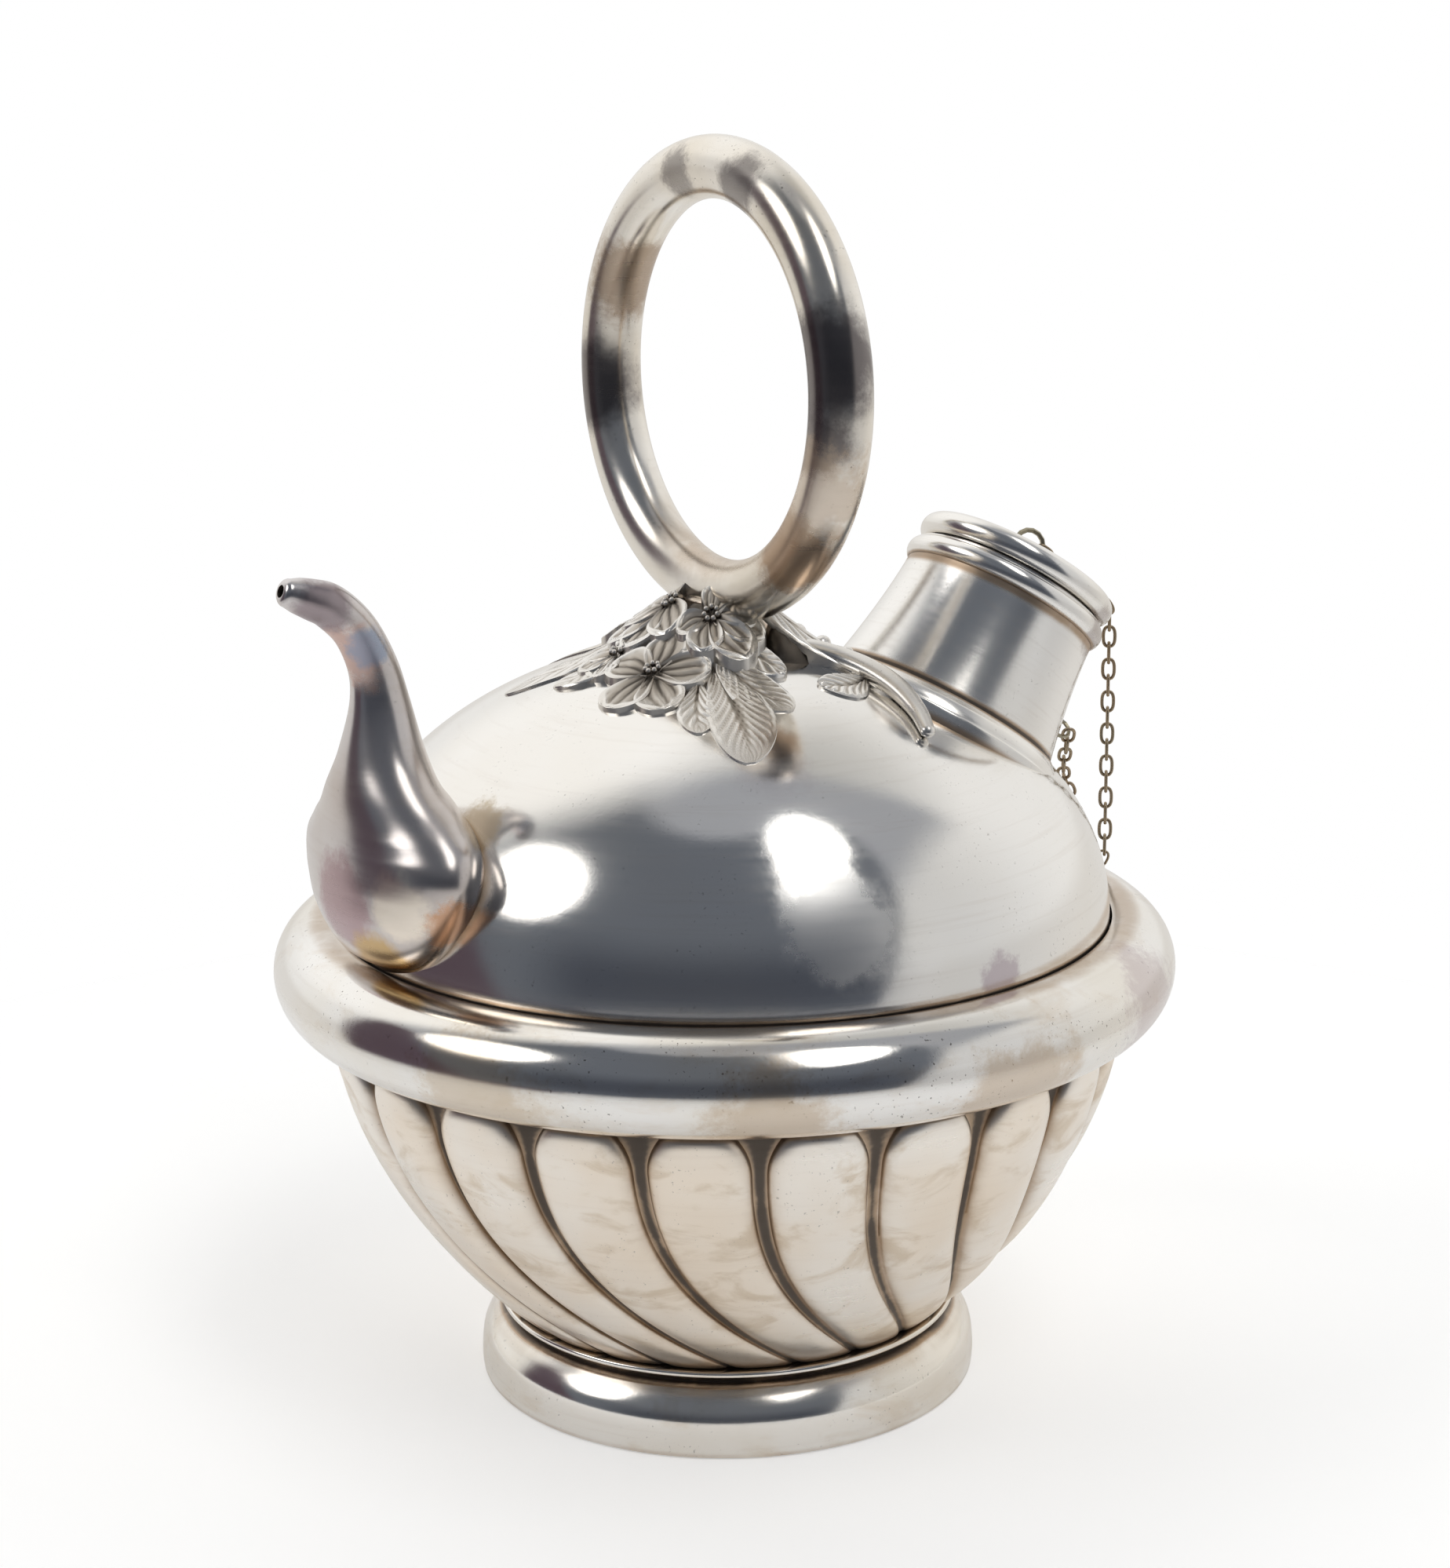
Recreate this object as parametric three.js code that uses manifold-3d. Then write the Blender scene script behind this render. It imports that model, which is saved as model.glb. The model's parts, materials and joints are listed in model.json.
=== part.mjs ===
// Spouted silver jug with a ring handle, a tilted filler neck and a chained stopper.
// Millimetres, +Z up. The bowl axis is the Z axis, the spout points to -X and the neck leans to +X.
import * as THREE from 'three';
import { mergeVertices } from 'three/addons/utils/BufferGeometryUtils.js';
import Module from 'manifold-3d';

const wasm = await Module();
wasm.setup();

// General sizes
const seam = 0.3; // clearance left between two pieces that are soldered or rest on each other
const sheet = 1.3; // wall of the bowl, the rim moulding and the foot

// Foot
const footHeight = 16.4;
const footRadius = 51.1;
const footFlange = 47.1;
const footWaist = 45.6;
const footTopHole = 40;

// Bowl
const bowlRadius = 80.4; // over the lobes, at the shoulder
const bowlRise = 60.2; // from the foot to the shoulder, where the lobes end under the moulding
const bowlBaseRadius = 45.9;
const bowlRound = 1.79; // exponents of the side curve
const bowlFall = 1.6;
const lobes = 22;
const lobeDepth = 2.85;
const lobeDepthAtBase = 0.9;
const depthRise = 30; // height over which the lobes grow to full depth
const panelShare = 0.44; // half of a lobe's share of its pitch, the rest is groove floor
const panelShareTop = 0.31;
const panelEnd = 5; // height over which the lobes round off under the moulding
const firstGroove = -118.4; // degrees, at the top of the bowl
const swirl = 29; // degrees turned by each groove from top to base
const swirlPower = 3.2; // how late the groove turns

// Dome
const domeRadius = 77.5;
const domeSkirt = 9.5; // upright wall over the middle of the rim moulding
const domeRise = 54;
const domeWall = 1.2;

// Rim moulding
const rimTube = 10;
const rimRadius = 80.7; // centre line
const rimSeat = 0.6; // between the shoulder and the moulding

// Ring handle and the boss under it
const ringTube = 6.07;
const ringRadius = 40.94; // centre line
const bossFoot = 12;
const bossTop = 7.6;
const bossRise = 10;
const ringSink = 5.02; // how deep the ring lies in its boss

// Spout, as oval sections: out from the dome's radius, up from its crease, half depth, half width
const spoutWall = 1.1;
const spoutSections = [
  [-3.8, -1.3, 2, 4.2],
  [-3.3, 3, 5.5, 13.4],
  [-2.5, 7, 9, 19.6],
  [-2.5, 12, 11.3, 23.6],
  [-3.1, 17, 12.3, 26.2],
  [-3.6, 22, 12.5, 27.3],
  [-3.4, 26, 12.2, 26],
  [-2.8, 30, 11, 22],
  [-2, 35, 9.7, 15.8],
  [-1.9, 42, 7.9, 9.8],
  [-1.8, 51.4, 5.7, 5.9],
  [-0.6, 58.7, 4.7, 4.6],
  [2.7, 65.8, 4.3, 4.2],
  [7.4, 70.6, 4.2, 4.1],
  [11.4, 72.5, 3.8, 3.7],
  [17.3, 74.6, 2.7, 2.7],
];
const spoutPort = 8; // radius of the hole in the dome behind the spout
const spoutPortRise = 17; // over the dome's crease

// Neck, measured along its own axis from the dome's surface
const neckReach = 47; // from the bowl axis to the point where the neck's axis meets the dome
const neckBearing = -24.8; // degrees about Z of that point
const neckTurn = 0.9; // degrees about Z of the way the neck leans
const neckTilt = 34.7; // degrees from upright
const neckCrease = -4.7;
const neckRise = 26.8; // from the crease to the lip bead
const neckRadius = 20.5; // outside, under the lip
const neckSpread = 3.5; // extra radius at the crease
const neckSpreadPower = 1.6;
const neckDepth = 20; // how far the neck and its skirt are drawn below the crease before trimming
const neckWall = 1.1;
const lipRadius = 21.7;
const lipTube = 2.5;
const skirtBand = 3.5; // skirt thickness outside the neck's foot

// Stopper
const stopperTube = 2.6;
const stopperRadius = 21.3;
const crownRise = 2.7;
const capThickness = 1.4;
const sleeveLength = 12;
const sleeveWall = 1;
const eyeRadius = 3.1;
const eyeWire = 0.55;

// Chain
const linkWidth = 3;
const linkWire = 0.56;
const linkGrip = 1.4; // how much longer a link is than the distance between its two joints
const linkPitch = 3.25; // in the lowest turn of the chain
const runLinks = 7;
const fallLinks = 15;
const returnLinks = 11;
const chainSide = -20; // degrees round the neck axis where the chain leaves the stopper
const chainLeave = 40; // degrees round the stopper bead where the chain leaves it
const chainRest = 2.1; // height of the lowest link over the rim moulding
const chainHover = linkWidth / 2 + 0.25;
const domeHover = 2.1; // from the dome to the middle of the chain that lies on it
const openPlay = 0.61; // slack in the joint where the chain's loop is opened
const stapleSide = -25;
const stapleRise = 8.7; // over the crease
const stapleRadius = 2.2;
const stapleWireRadius = 0.42;

const rad = THREE.MathUtils.degToRad;
const bowlBase = footHeight + seam;
const bowlShoulder = bowlBase + bowlRise;
const rimHeight = bowlShoulder + rimSeat + rimTube;
const domeCrease = rimHeight + domeSkirt;
const apex = domeCrease + domeRise;
const bossHeight = apex + bossRise;
const ringHeight = bossHeight - ringSink + ringTube + ringRadius;
const neckLip = neckCrease + neckRise;
const neckFoot = neckRadius + neckSpread;
const neckBore = neckRadius - neckWall;
const skirtRadius = neckFoot + skirtBand;
const domeEdge = rimHeight + seam / 2; // the dome stands on the bowl's collar inside the moulding
const stopperBead = neckLip + lipTube + seam + stopperTube;

const silver = { color: 0xcdc8be, roughness: 0.32, metalness: 1 };
const oxidised = { color: 0xa39c90, roughness: 0.5, metalness: 1 };
const steel = { color: 0x8f8a72, roughness: 0.42, metalness: 1 };

const jug = new THREE.Group();
jug.name = 'spouted_jug';

function addMesh(name, solid, look) {
  const mesh = new THREE.Mesh(toGeometry(solid), new THREE.MeshStandardMaterial(look));
  mesh.name = name;
  jug.add(mesh);
}

// Solids and surfaces

function volume(position, index) {
  const a = new THREE.Vector3();
  const b = new THREE.Vector3();
  const c = new THREE.Vector3();
  let sum = 0;
  for (let i = 0; i < index.length; i += 3) {
    a.fromBufferAttribute(position, index[i]);
    b.fromBufferAttribute(position, index[i + 1]);
    c.fromBufferAttribute(position, index[i + 2]);
    sum += a.dot(b.cross(c));
  }
  return sum / 6;
}

function toSolid(geometry) {
  const bare = geometry.clone();
  bare.deleteAttribute('normal');
  bare.deleteAttribute('uv');
  const merged = mergeVertices(bare, 1e-4);
  const position = merged.getAttribute('position');
  const kept = [];
  const all = merged.getIndex().array;
  for (let i = 0; i < all.length; i += 3) {
    const [a, b, c] = [all[i], all[i + 1], all[i + 2]];
    if (a !== b && b !== c && c !== a) kept.push(a, b, c);
  }
  if (volume(position, kept) < 0) kept.reverse();
  const vertProperties = new Float32Array(position.array);
  return new wasm.Manifold(new wasm.Mesh({ numProp: 3, vertProperties, triVerts: new Uint32Array(kept) }));
}

function toGeometry(solid) {
  const mesh = solid.getMesh();
  const positions = new Float32Array(mesh.numVert * 3);
  for (let i = 0; i < mesh.numVert; i++) {
    for (let k = 0; k < 3; k++) positions[3 * i + k] = mesh.vertProperties[mesh.numProp * i + k];
  }
  const geometry = new THREE.BufferGeometry();
  geometry.setAttribute('position', new THREE.BufferAttribute(positions, 3));
  geometry.setIndex(Array.from(mesh.triVerts));
  geometry.computeVertexNormals();
  return geometry;
}

function union(solids) {
  return solids.reduce((sum, solid) => sum.add(solid));
}

function turned(profile, segments, matrix) {
  const points = profile.map(([r, z]) => new THREE.Vector2(r, z));
  const geometry = new THREE.LatheGeometry(points, segments);
  geometry.rotateX(Math.PI / 2);
  if (matrix) geometry.applyMatrix4(matrix);
  return toSolid(geometry);
}

function closedProfile(profile) {
  return [...profile, profile[0]];
}

// Skin over a row of rings with equal point counts, capped by a fan at both ends
function loft(rings) {
  const count = rings[0].length;
  const points = rings.flat();
  const faces = [];
  for (let row = 0; row + 1 < rings.length; row++) {
    for (let i = 0; i < count; i++) {
      const a = row * count + i;
      const b = row * count + ((i + 1) % count);
      faces.push(a, b, b + count, a, b + count, a + count);
    }
  }
  for (const [row, flip] of [[0, true], [rings.length - 1, false]]) {
    const centre = points.length;
    const middle = new THREE.Vector3();
    rings[row].forEach((p) => middle.addScaledVector(p, 1 / count));
    points.push(middle);
    for (let i = 0; i < count; i++) {
      const a = row * count + i;
      const b = row * count + ((i + 1) % count);
      faces.push(...(flip ? [centre, b, a] : [centre, a, b]));
    }
  }
  const geometry = new THREE.BufferGeometry().setFromPoints(points);
  geometry.setIndex(faces);
  return toSolid(geometry);
}

function arc(cx, cz, radius, from, to, steps) {
  const points = [];
  for (let i = 0; i <= steps; i++) {
    const angle = rad(from + ((to - from) * i) / steps);
    points.push([cx + radius * Math.cos(angle), cz + radius * Math.sin(angle)]);
  }
  return points;
}

function rod(from, to, radius, segments = 12) {
  const along = to.clone().sub(from);
  const geometry = new THREE.CylinderGeometry(radius, radius, along.length(), segments);
  geometry.translate(0, along.length() / 2, 0);
  geometry.applyQuaternion(new THREE.Quaternion().setFromUnitVectors(new THREE.Vector3(0, 1, 0), along.normalize()));
  geometry.translate(from.x, from.y, from.z);
  return toSolid(geometry);
}

// Foot: a hollow turned ring with a flange on top and a flat band turned in at the floor
const footOuter = [
  [footRadius - 0.8, 0],
  [footRadius - 0.1, 1],
  [footRadius, 4],
  [footRadius - 0.5, 8],
  [footRadius - 2.1, 11],
  [footFlange - 0.1, 13.2],
  [footWaist, 13.7],
  [footWaist + 0.2, 14.4],
  [footFlange, 15],
  [footFlange, footHeight - 0.3],
  [footFlange - 1.2, footHeight],
  [footTopHole, footHeight],
];
const footInner = [
  [footTopHole, footHeight - sheet],
  [footWaist - 1.6, footHeight - sheet],
  [footRadius - 3.5, 10],
  [footRadius - sheet - 0.6, 7],
  [footRadius - sheet, sheet],
  [footRadius - 4.6, sheet],
  [footRadius - 4.6, 0],
];
addMesh('foot_ring', turned(closedProfile([...footOuter, ...footInner]), 36), silver);

// Bowl: swirled convex lobes between fine grooves, shallower toward the base
const bowlTop = bowlShoulder + 0.3;
const bowlDrop = (bowlTop - bowlBase) / (1 - (bowlBaseRadius / bowlRadius) ** bowlRound) ** (1 / bowlFall);

function bowlOuter(z) {
  const share = Math.max(0, (bowlTop - z) / bowlDrop);
  return bowlRadius * (1 - share ** bowlFall) ** (1 / bowlRound);
}

function grooveDepth(z) {
  const climb = Math.min(1, (z - bowlBase) / depthRise);
  return lobeDepth - (lobeDepth - lobeDepthAtBase) * (1 - climb) ** 2;
}

function grooveAngle(index, z) {
  const fall = Math.max(0, (bowlTop - z) / (bowlTop - bowlBase));
  return rad(firstGroove + (360 / lobes) * index + swirl * fall ** swirlPower);
}

// Half of a lobe's share of its pitch: even below, rounded in under the moulding
function panelWidth(z) {
  const end = THREE.MathUtils.clamp(1 - (bowlShoulder - z) / panelEnd, 0, 1);
  return panelShare - (panelShare - panelShareTop) * end ** 2;
}

// One ring of the bowl; places run across a lobe from one edge (-1) to the other (1)
function lobedRing(z, radius, depth, inset, places, height = z) {
  const ring = [];
  for (let lobe = 0; lobe < lobes; lobe++) {
    for (const place of places) {
      const swell = Math.sqrt(Math.max(0, 1 - Math.abs(place) ** 3));
      const r = radius - depth * (1 - swell) - inset;
      const angle = grooveAngle(lobe + 0.5 + place * panelWidth(z), z);
      ring.push(new THREE.Vector3(r * Math.cos(angle), r * Math.sin(angle), height));
    }
  }
  return ring;
}

const rowShares = [0, 0.07, 0.16, 0.28, 0.42, 0.57, 0.73, 0.86, 0.935, 0.977];
const bowlRows = rowShares.map((share) => bowlBase + bowlRise * share);
const outerPlaces = [-1, -0.7, 0, 0.7, 1];
const innerPlaces = [-1.12, 0];
const shoulderRadius = bowlOuter(bowlRows[bowlRows.length - 1]);
const bowlSkin = bowlRows.map((z) => lobedRing(z, bowlOuter(z), grooveDepth(z), 0, outerPlaces));
bowlSkin.push(lobedRing(bowlShoulder, shoulderRadius - 0.8, lobeDepth - 0.8, 0, outerPlaces));
bowlSkin.push(lobedRing(bowlTop, domeRadius, 0, 0, outerPlaces));
bowlSkin.push(lobedRing(domeEdge - seam, domeRadius, 0, 0, outerPlaces));
const bowlFloor = bowlBase + sheet;
const bowlHollow = [bowlFloor, ...bowlRows.filter((z, i) => i % 2 === 1)].map((z) =>
  lobedRing(z, bowlOuter(z), grooveDepth(z), sheet, innerPlaces));
bowlHollow.push(lobedRing(bowlTop, domeRadius, 0, sheet, innerPlaces));
bowlHollow.push(lobedRing(domeEdge + sheet, domeRadius, 0, sheet, innerPlaces));
addMesh('bowl', loft(bowlSkin).subtract(loft(bowlHollow)), silver);

// Dome: half an ellipsoid on a short upright skirt
function domeProfile(offset, bottom, steps = 8) {
  const profile = [[0, bottom], [domeRadius + offset, bottom]];
  for (let i = 0; i <= steps; i++) {
    const angle = (Math.PI / 2) * (i / steps);
    const r = i === steps ? 0 : (domeRadius + offset) * Math.cos(angle);
    profile.push([r, domeCrease + (domeRise + offset) * Math.sin(angle)]);
  }
  return profile;
}

function domeZ(x, y) {
  const share = (x * x + y * y) / domeRadius ** 2;
  return domeCrease + domeRise * Math.sqrt(Math.max(0, 1 - share));
}

const neckRoot = new THREE.Vector3(neckReach * Math.cos(rad(neckBearing)), neckReach * Math.sin(rad(neckBearing)), 0);
neckRoot.z = domeZ(neckRoot.x, neckRoot.y);
const neckMatrix = new THREE.Matrix4()
  .makeTranslation(neckRoot.x, neckRoot.y, neckRoot.z)
  .multiply(new THREE.Matrix4().makeRotationZ(rad(neckTurn)))
  .multiply(new THREE.Matrix4().makeRotationY(rad(neckTilt)));

function onNeck(along, out, side) {
  const angle = rad(side);
  return new THREE.Vector3(out * Math.cos(angle), out * Math.sin(angle), along).applyMatrix4(neckMatrix);
}

const domeOutside = turned(domeProfile(0, domeEdge), 48);
const domeInside = turned(domeProfile(-domeWall, domeEdge - 1, 6), 36);
const portInDome = rod(
  new THREE.Vector3(-domeRadius / 2, 0, domeCrease + spoutPortRise),
  new THREE.Vector3(-domeRadius - 5, 0, domeCrease + spoutPortRise),
  spoutPort, 16);
const neckPort = rod(onNeck(neckCrease - 1.5 * neckDepth, 0, 0), onNeck(neckLip, 0, 0), neckBore + 2.5, 24);
addMesh('dome', domeOutside.subtract(domeInside).subtract(portInDome).subtract(neckPort), silver);

const domeClear = turned(domeProfile(seam, domeEdge - 20), 48);

// Rim moulding: a round hollow moulding that covers the joint of bowl and dome
const rimOpen = THREE.MathUtils.radToDeg(Math.acos((domeRadius + 1.6 * seam - rimRadius) / rimTube));
const rimProfile = closedProfile([
  ...arc(rimRadius, rimHeight, rimTube, rimOpen, -rimOpen, 8),
  ...arc(rimRadius, rimHeight, rimTube - sheet, -rimOpen, rimOpen, 4),
]);
addMesh('rim_moulding', turned(rimProfile, 48), silver);

// Spout: a wide oval bulb on the dome that draws in to a bent tube with a small bore
function spoutRings(inset, sections) {
  return sections.map(([x, z, depth, width], i) => {
    const before = sections[Math.max(0, i - 1)];
    const after = sections[Math.min(sections.length - 1, i + 1)];
    const along = new THREE.Vector3(after[0] - before[0], 0, after[1] - before[1]).normalize();
    const ring = [];
    const count = 14;
    for (let k = 0; k < count; k++) {
      const angle = (2 * Math.PI * k) / count;
      const across = (depth - inset) * Math.cos(angle);
      const side = (width - inset) * Math.sin(angle);
      ring.push(new THREE.Vector3(x + across * along.z, side, z - across * along.x));
    }
    return ring;
  });
}

const spoutRows = spoutSections.map(([out, up, depth, width]) => [-domeRadius - out, domeCrease + up, depth, width]);
const spoutTip = spoutRows[spoutRows.length - 1];
const beforeTip = spoutRows[spoutRows.length - 2];
const pastTip = spoutTip.map((value, i) => (i < 2 ? value + (value - beforeTip[i]) * 0.4 : value));
const spoutShell = loft(spoutRings(0, spoutRows));
const spoutHollow = loft(spoutRings(spoutWall, [...spoutRows.slice(1, -1), spoutTip, pastTip]));
addMesh('spout', spoutShell.subtract(spoutHollow).subtract(domeClear), silver);

// Ring handle and the boss it is soldered to
function ringSolid(tube, around, across) {
  const geometry = new THREE.TorusGeometry(ringRadius, tube, across, around);
  geometry.rotateY(Math.PI / 2);
  geometry.translate(0, 0, ringHeight);
  return toSolid(geometry);
}

const ringClear = ringSolid(ringTube + seam, 36, 10);
addMesh('ring_handle', ringSolid(ringTube, 36, 10), silver);

const bossProfile = [
  [0, apex - 4],
  [bossFoot, apex - 4],
  [bossFoot, apex + 1.2],
  [bossFoot - 1.6, apex + 3.2],
  [bossTop + 0.4, apex + 5],
  [bossTop, apex + 7.4],
  [bossTop + 0.3, bossHeight],
  [0, bossHeight],
];
const boss = turned(bossProfile, 24).subtract(ringClear).subtract(domeClear);
addMesh('handle_boss', boss, silver);

// Neck: a waisted tube soldered to the dome, a skirt round its foot and a bead at its lip
function neckOuter(along) {
  const share = Math.min(1, (along - neckCrease) / neckRise);
  return neckRadius + neckSpread * (1 - share) ** neckSpreadPower;
}

const neckBottom = neckCrease - neckDepth;
const neckOutside = [[0, neckBottom], [neckFoot, neckBottom], [neckFoot, neckCrease - 0.6]];
const neckInside = [[0, neckBottom - 1], [neckFoot - neckWall, neckBottom - 1]];
const neckSteps = 5;
for (let i = 0; i <= neckSteps; i++) {
  const along = neckCrease + (neckRise * i) / neckSteps;
  neckOutside.push([neckOuter(along), along]);
  neckInside.push([neckOuter(along) - neckWall, along]);
}
const neckTop = neckLip + lipTube - 0.2;
neckOutside.push([neckRadius, neckTop], [0, neckTop]);
neckInside.push([neckBore, neckTop + 1], [0, neckTop + 1]);
const neckSkin = turned(neckOutside, 32, neckMatrix);
const neckTube = neckSkin.subtract(turned(neckInside, 32, neckMatrix)).subtract(domeClear);
addMesh('neck_tube', neckTube, silver);

const skirtInside = neckFoot + seam;
const skirtProfile = closedProfile([
  [skirtInside, neckBottom],
  [skirtRadius, neckBottom],
  [skirtRadius, neckCrease - 6.2],
  [skirtRadius - 0.4, neckCrease - 3.8],
  [skirtRadius - 1.2, neckCrease - 2.1],
  [skirtRadius - 2.3, neckCrease - 1],
  [skirtInside + 0.4, neckCrease - 0.4],
  [skirtInside, neckCrease - 0.7],
]);
const skirt = turned(skirtProfile, 32, neckMatrix).subtract(domeClear);
addMesh('neck_skirt', skirt, silver);
const skirtClear = turned([
  [0, neckBottom - 5],
  [skirtRadius + seam, neckBottom - 5],
  [skirtRadius + seam, neckCrease - 3.6],
  [skirtInside + 1, neckCrease + seam],
  [neckRadius + seam, neckLip],
  [0, neckLip],
], 32, neckMatrix);

const lipCentre = lipRadius - lipTube;
const lipOpen = THREE.MathUtils.radToDeg(Math.acos((neckRadius + 1.6 * seam - lipCentre) / lipTube));
const lipProfile = closedProfile(arc(lipCentre, neckLip, lipTube, lipOpen, -lipOpen, 5));
addMesh('neck_lip_bead', turned(lipProfile, 32, neckMatrix), silver);

// Stopper: a shallow crowned cap with a bead that rests over the lip, and a sleeve inside the neck
const capBead = stopperRadius - stopperTube;
const crownEdge = capBead - 0.4 * stopperTube;
const crownFoot = stopperBead + 0.73 * stopperTube;

function crownTop(r) {
  return crownFoot + crownRise * (1 - (r / crownEdge) ** 2);
}

const capProfile = [];
for (const share of [0, 0.35, 0.7, 1]) capProfile.push([crownEdge * share, crownTop(crownEdge * share)]);
const sleeveTop = stopperBead - stopperTube + 0.8;
const beadEnd = THREE.MathUtils.radToDeg(Math.acos((neckBore - capBead) / stopperTube));
capProfile.push(...arc(capBead, stopperBead, stopperTube, 112, -beadEnd, 6));
capProfile.push([neckBore, sleeveTop + seam]);
for (const share of [1, 0.6, 0]) {
  capProfile.push([crownEdge * share, crownTop(crownEdge * share) - capThickness]);
}
addMesh('stopper_cap', turned(capProfile, 32, neckMatrix), silver);

const sleeveOutside = neckBore - seam;
addMesh('stopper_sleeve', turned(closedProfile([
  [sleeveOutside, sleeveTop],
  [sleeveOutside, sleeveTop - sleeveLength],
  [sleeveOutside - sleeveWall, sleeveTop - sleeveLength],
  [sleeveOutside - sleeveWall, sleeveTop],
]), 32, neckMatrix), silver);

// An arch of round wire whose ends stop just above the surface it is soldered to
function wireEye(radius, wire, centre, out, across, cut) {
  const geometry = new THREE.TorusGeometry(radius, wire, 5, 14);
  const basis = new THREE.Matrix4().makeBasis(across, out, across.clone().cross(out));
  geometry.applyMatrix4(basis.setPosition(centre));
  return toSolid(geometry).subtract(cut);
}

const neckAxis = onNeck(1, 0, 0).sub(onNeck(0, 0, 0));
const chainOut = onNeck(0, 1, chainSide).sub(onNeck(0, 0, 0));
const crownClear = turned([
  [0, stopperBead],
  [crownEdge, stopperBead],
  [crownEdge, crownFoot + seam],
  [crownEdge / 2, crownTop(crownEdge / 2) + seam],
  [0, crownTop(0) + seam],
], 16, neckMatrix);
const eyeCentre = onNeck(crownTop(0) + 1.2, 0, 0);
addMesh('stopper_eye', wireEye(eyeRadius, eyeWire, eyeCentre, neckAxis, chainOut, crownClear), steel);

// Chain: oval wire links, each turned a quarter against the next
function linkShape(length) {
  const soften = (value) => Math.sign(value) * Math.abs(value) ** 0.7;
  return new THREE.CatmullRomCurve3([0, 1, 2, 3, 4, 5, 6, 7].map((i) => {
    const angle = (i * Math.PI) / 4;
    const x = ((length - linkWire) / 2) * soften(Math.cos(angle));
    const y = ((linkWidth - linkWire) / 2) * soften(Math.sin(angle));
    return new THREE.Vector3(x, y, 0);
  }), true);
}

function linkSolid(centre, along, sideways, roll) {
  const shape = linkShape(along.length() + linkGrip);
  const rings = [];
  const steps = 8;
  const flat = new THREE.Vector3(0, 0, 1);
  for (let i = 0; i < steps; i++) {
    const at = shape.getPoint(i / steps);
    const run = shape.getTangent(i / steps);
    const out = new THREE.Vector3().crossVectors(run, flat);
    const ring = [];
    for (let k = 0; k < 4; k++) {
      const turn = (Math.PI / 2) * k;
      const p = at.clone().addScaledVector(out, (linkWire / 2) * Math.cos(turn));
      ring.push(p.addScaledVector(flat, (linkWire / 2) * Math.sin(turn)));
    }
    rings.push(ring);
  }
  const points = rings.flat();
  const faces = [];
  for (let i = 0; i < steps; i++) {
    for (let k = 0; k < 4; k++) {
      const a = 4 * i + k;
      const b = 4 * i + ((k + 1) % 4);
      const c = 4 * ((i + 1) % steps) + k;
      const d = 4 * ((i + 1) % steps) + ((k + 1) % 4);
      faces.push(a, c, d, a, d, b);
    }
  }
  const geometry = new THREE.BufferGeometry().setFromPoints(points);
  geometry.setIndex(faces);
  geometry.applyMatrix4(linkFrame(along, sideways, roll).setPosition(centre));
  return toSolid(geometry);
}

// A link's own axes: along it, across its oval and out of its oval
function linkFrame(along, sideways, roll) {
  const x = along.clone().normalize();
  const z = sideways.clone().addScaledVector(x, -sideways.dot(x)).normalize();
  const y = new THREE.Vector3().crossVectors(z, x);
  return new THREE.Matrix4().makeBasis(x, y, z).multiply(new THREE.Matrix4().makeRotationX(rad(roll)));
}

// Links join end to end along a curve, each one a chord between two joints
let linkCount = 0;
function addLink(name, number, from, to, sideways, firstRoll) {
  const centre = new THREE.Vector3().lerpVectors(from, to, 0.5);
  const roll = firstRoll + 90 * (linkCount % 2);
  const along = to.clone().sub(from);
  addMesh(`${name}_${String(number).padStart(2, '0')}`, linkSolid(centre, along, sideways, roll), steel);
  linkCount += 1;
  return linkFrame(along, sideways, roll);
}

function addLinks(name, count, curve, sideways) {
  let frame;
  for (let i = 0; i < count; i++) {
    frame = addLink(name, i + 1, curve.getPointAt(i / count), curve.getPointAt((i + 1) / count), sideways, 45);
  }
  return frame;
}

function overCap(r) {
  return onNeck(crownTop(r) + chainHover, r, chainSide);
}

function roundBead(angle) {
  const reach = stopperTube + chainHover;
  return onNeck(stopperBead + reach * Math.sin(rad(angle)), capBead + reach * Math.cos(rad(angle)), chainSide);
}

function besideDome(z, azimuth) {
  const r = domeRadius * Math.sqrt(1 - ((z - domeCrease) / domeRise) ** 2) + domeHover;
  return new THREE.Vector3(r * Math.cos(rad(azimuth)), r * Math.sin(rad(azimuth)), z);
}

// Over the stopper, from its eye to the edge
const chainStart = onNeck(crownTop(0) + 1.8, eyeRadius - eyeWire - 0.5, chainSide);
const chainEdge = roundBead(chainLeave);
const run = new THREE.CatmullRomCurve3(
  [chainStart, overCap(8), overCap(14), roundBead(88), chainEdge], false, 'centripetal');
addLinks('run_link', runLinks, run, onNeck(0, 1, chainSide + 90).sub(onNeck(0, 0, 0)));

// Straight down from the edge, round the lowest link over the moulding and back up the dome
const upright = new THREE.Vector3(0, 0, 1);
const turnReach = 1; // in pitches, sideways from the middle of the turn
const turnRise = 0.85;
const beside = (side, up) => new THREE.Vector3(0, side * linkPitch, up * linkPitch)
  .applyAxisAngle(upright, rad(neckTurn));
const lowMiddle = chainEdge.clone().sub(beside(-turnReach, 0)).setZ(rimHeight + rimTube + chainRest);
const turnLow = (side, up) => beside(side, up).add(lowMiddle);
const slack = new THREE.Vector3(0.35, 0.4, -0.3).setLength(openPlay);
const lowOut = turnLow(-turnReach, turnRise).add(slack);
const lowIn = turnLow(turnReach, turnRise);
const chainPlane = new THREE.Vector3().crossVectors(neckAxis, lowMiddle.clone().sub(chainEdge)).normalize();
addLinks('fall_link', fallLinks, new THREE.LineCurve3(chainEdge, lowOut), chainPlane);

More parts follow.
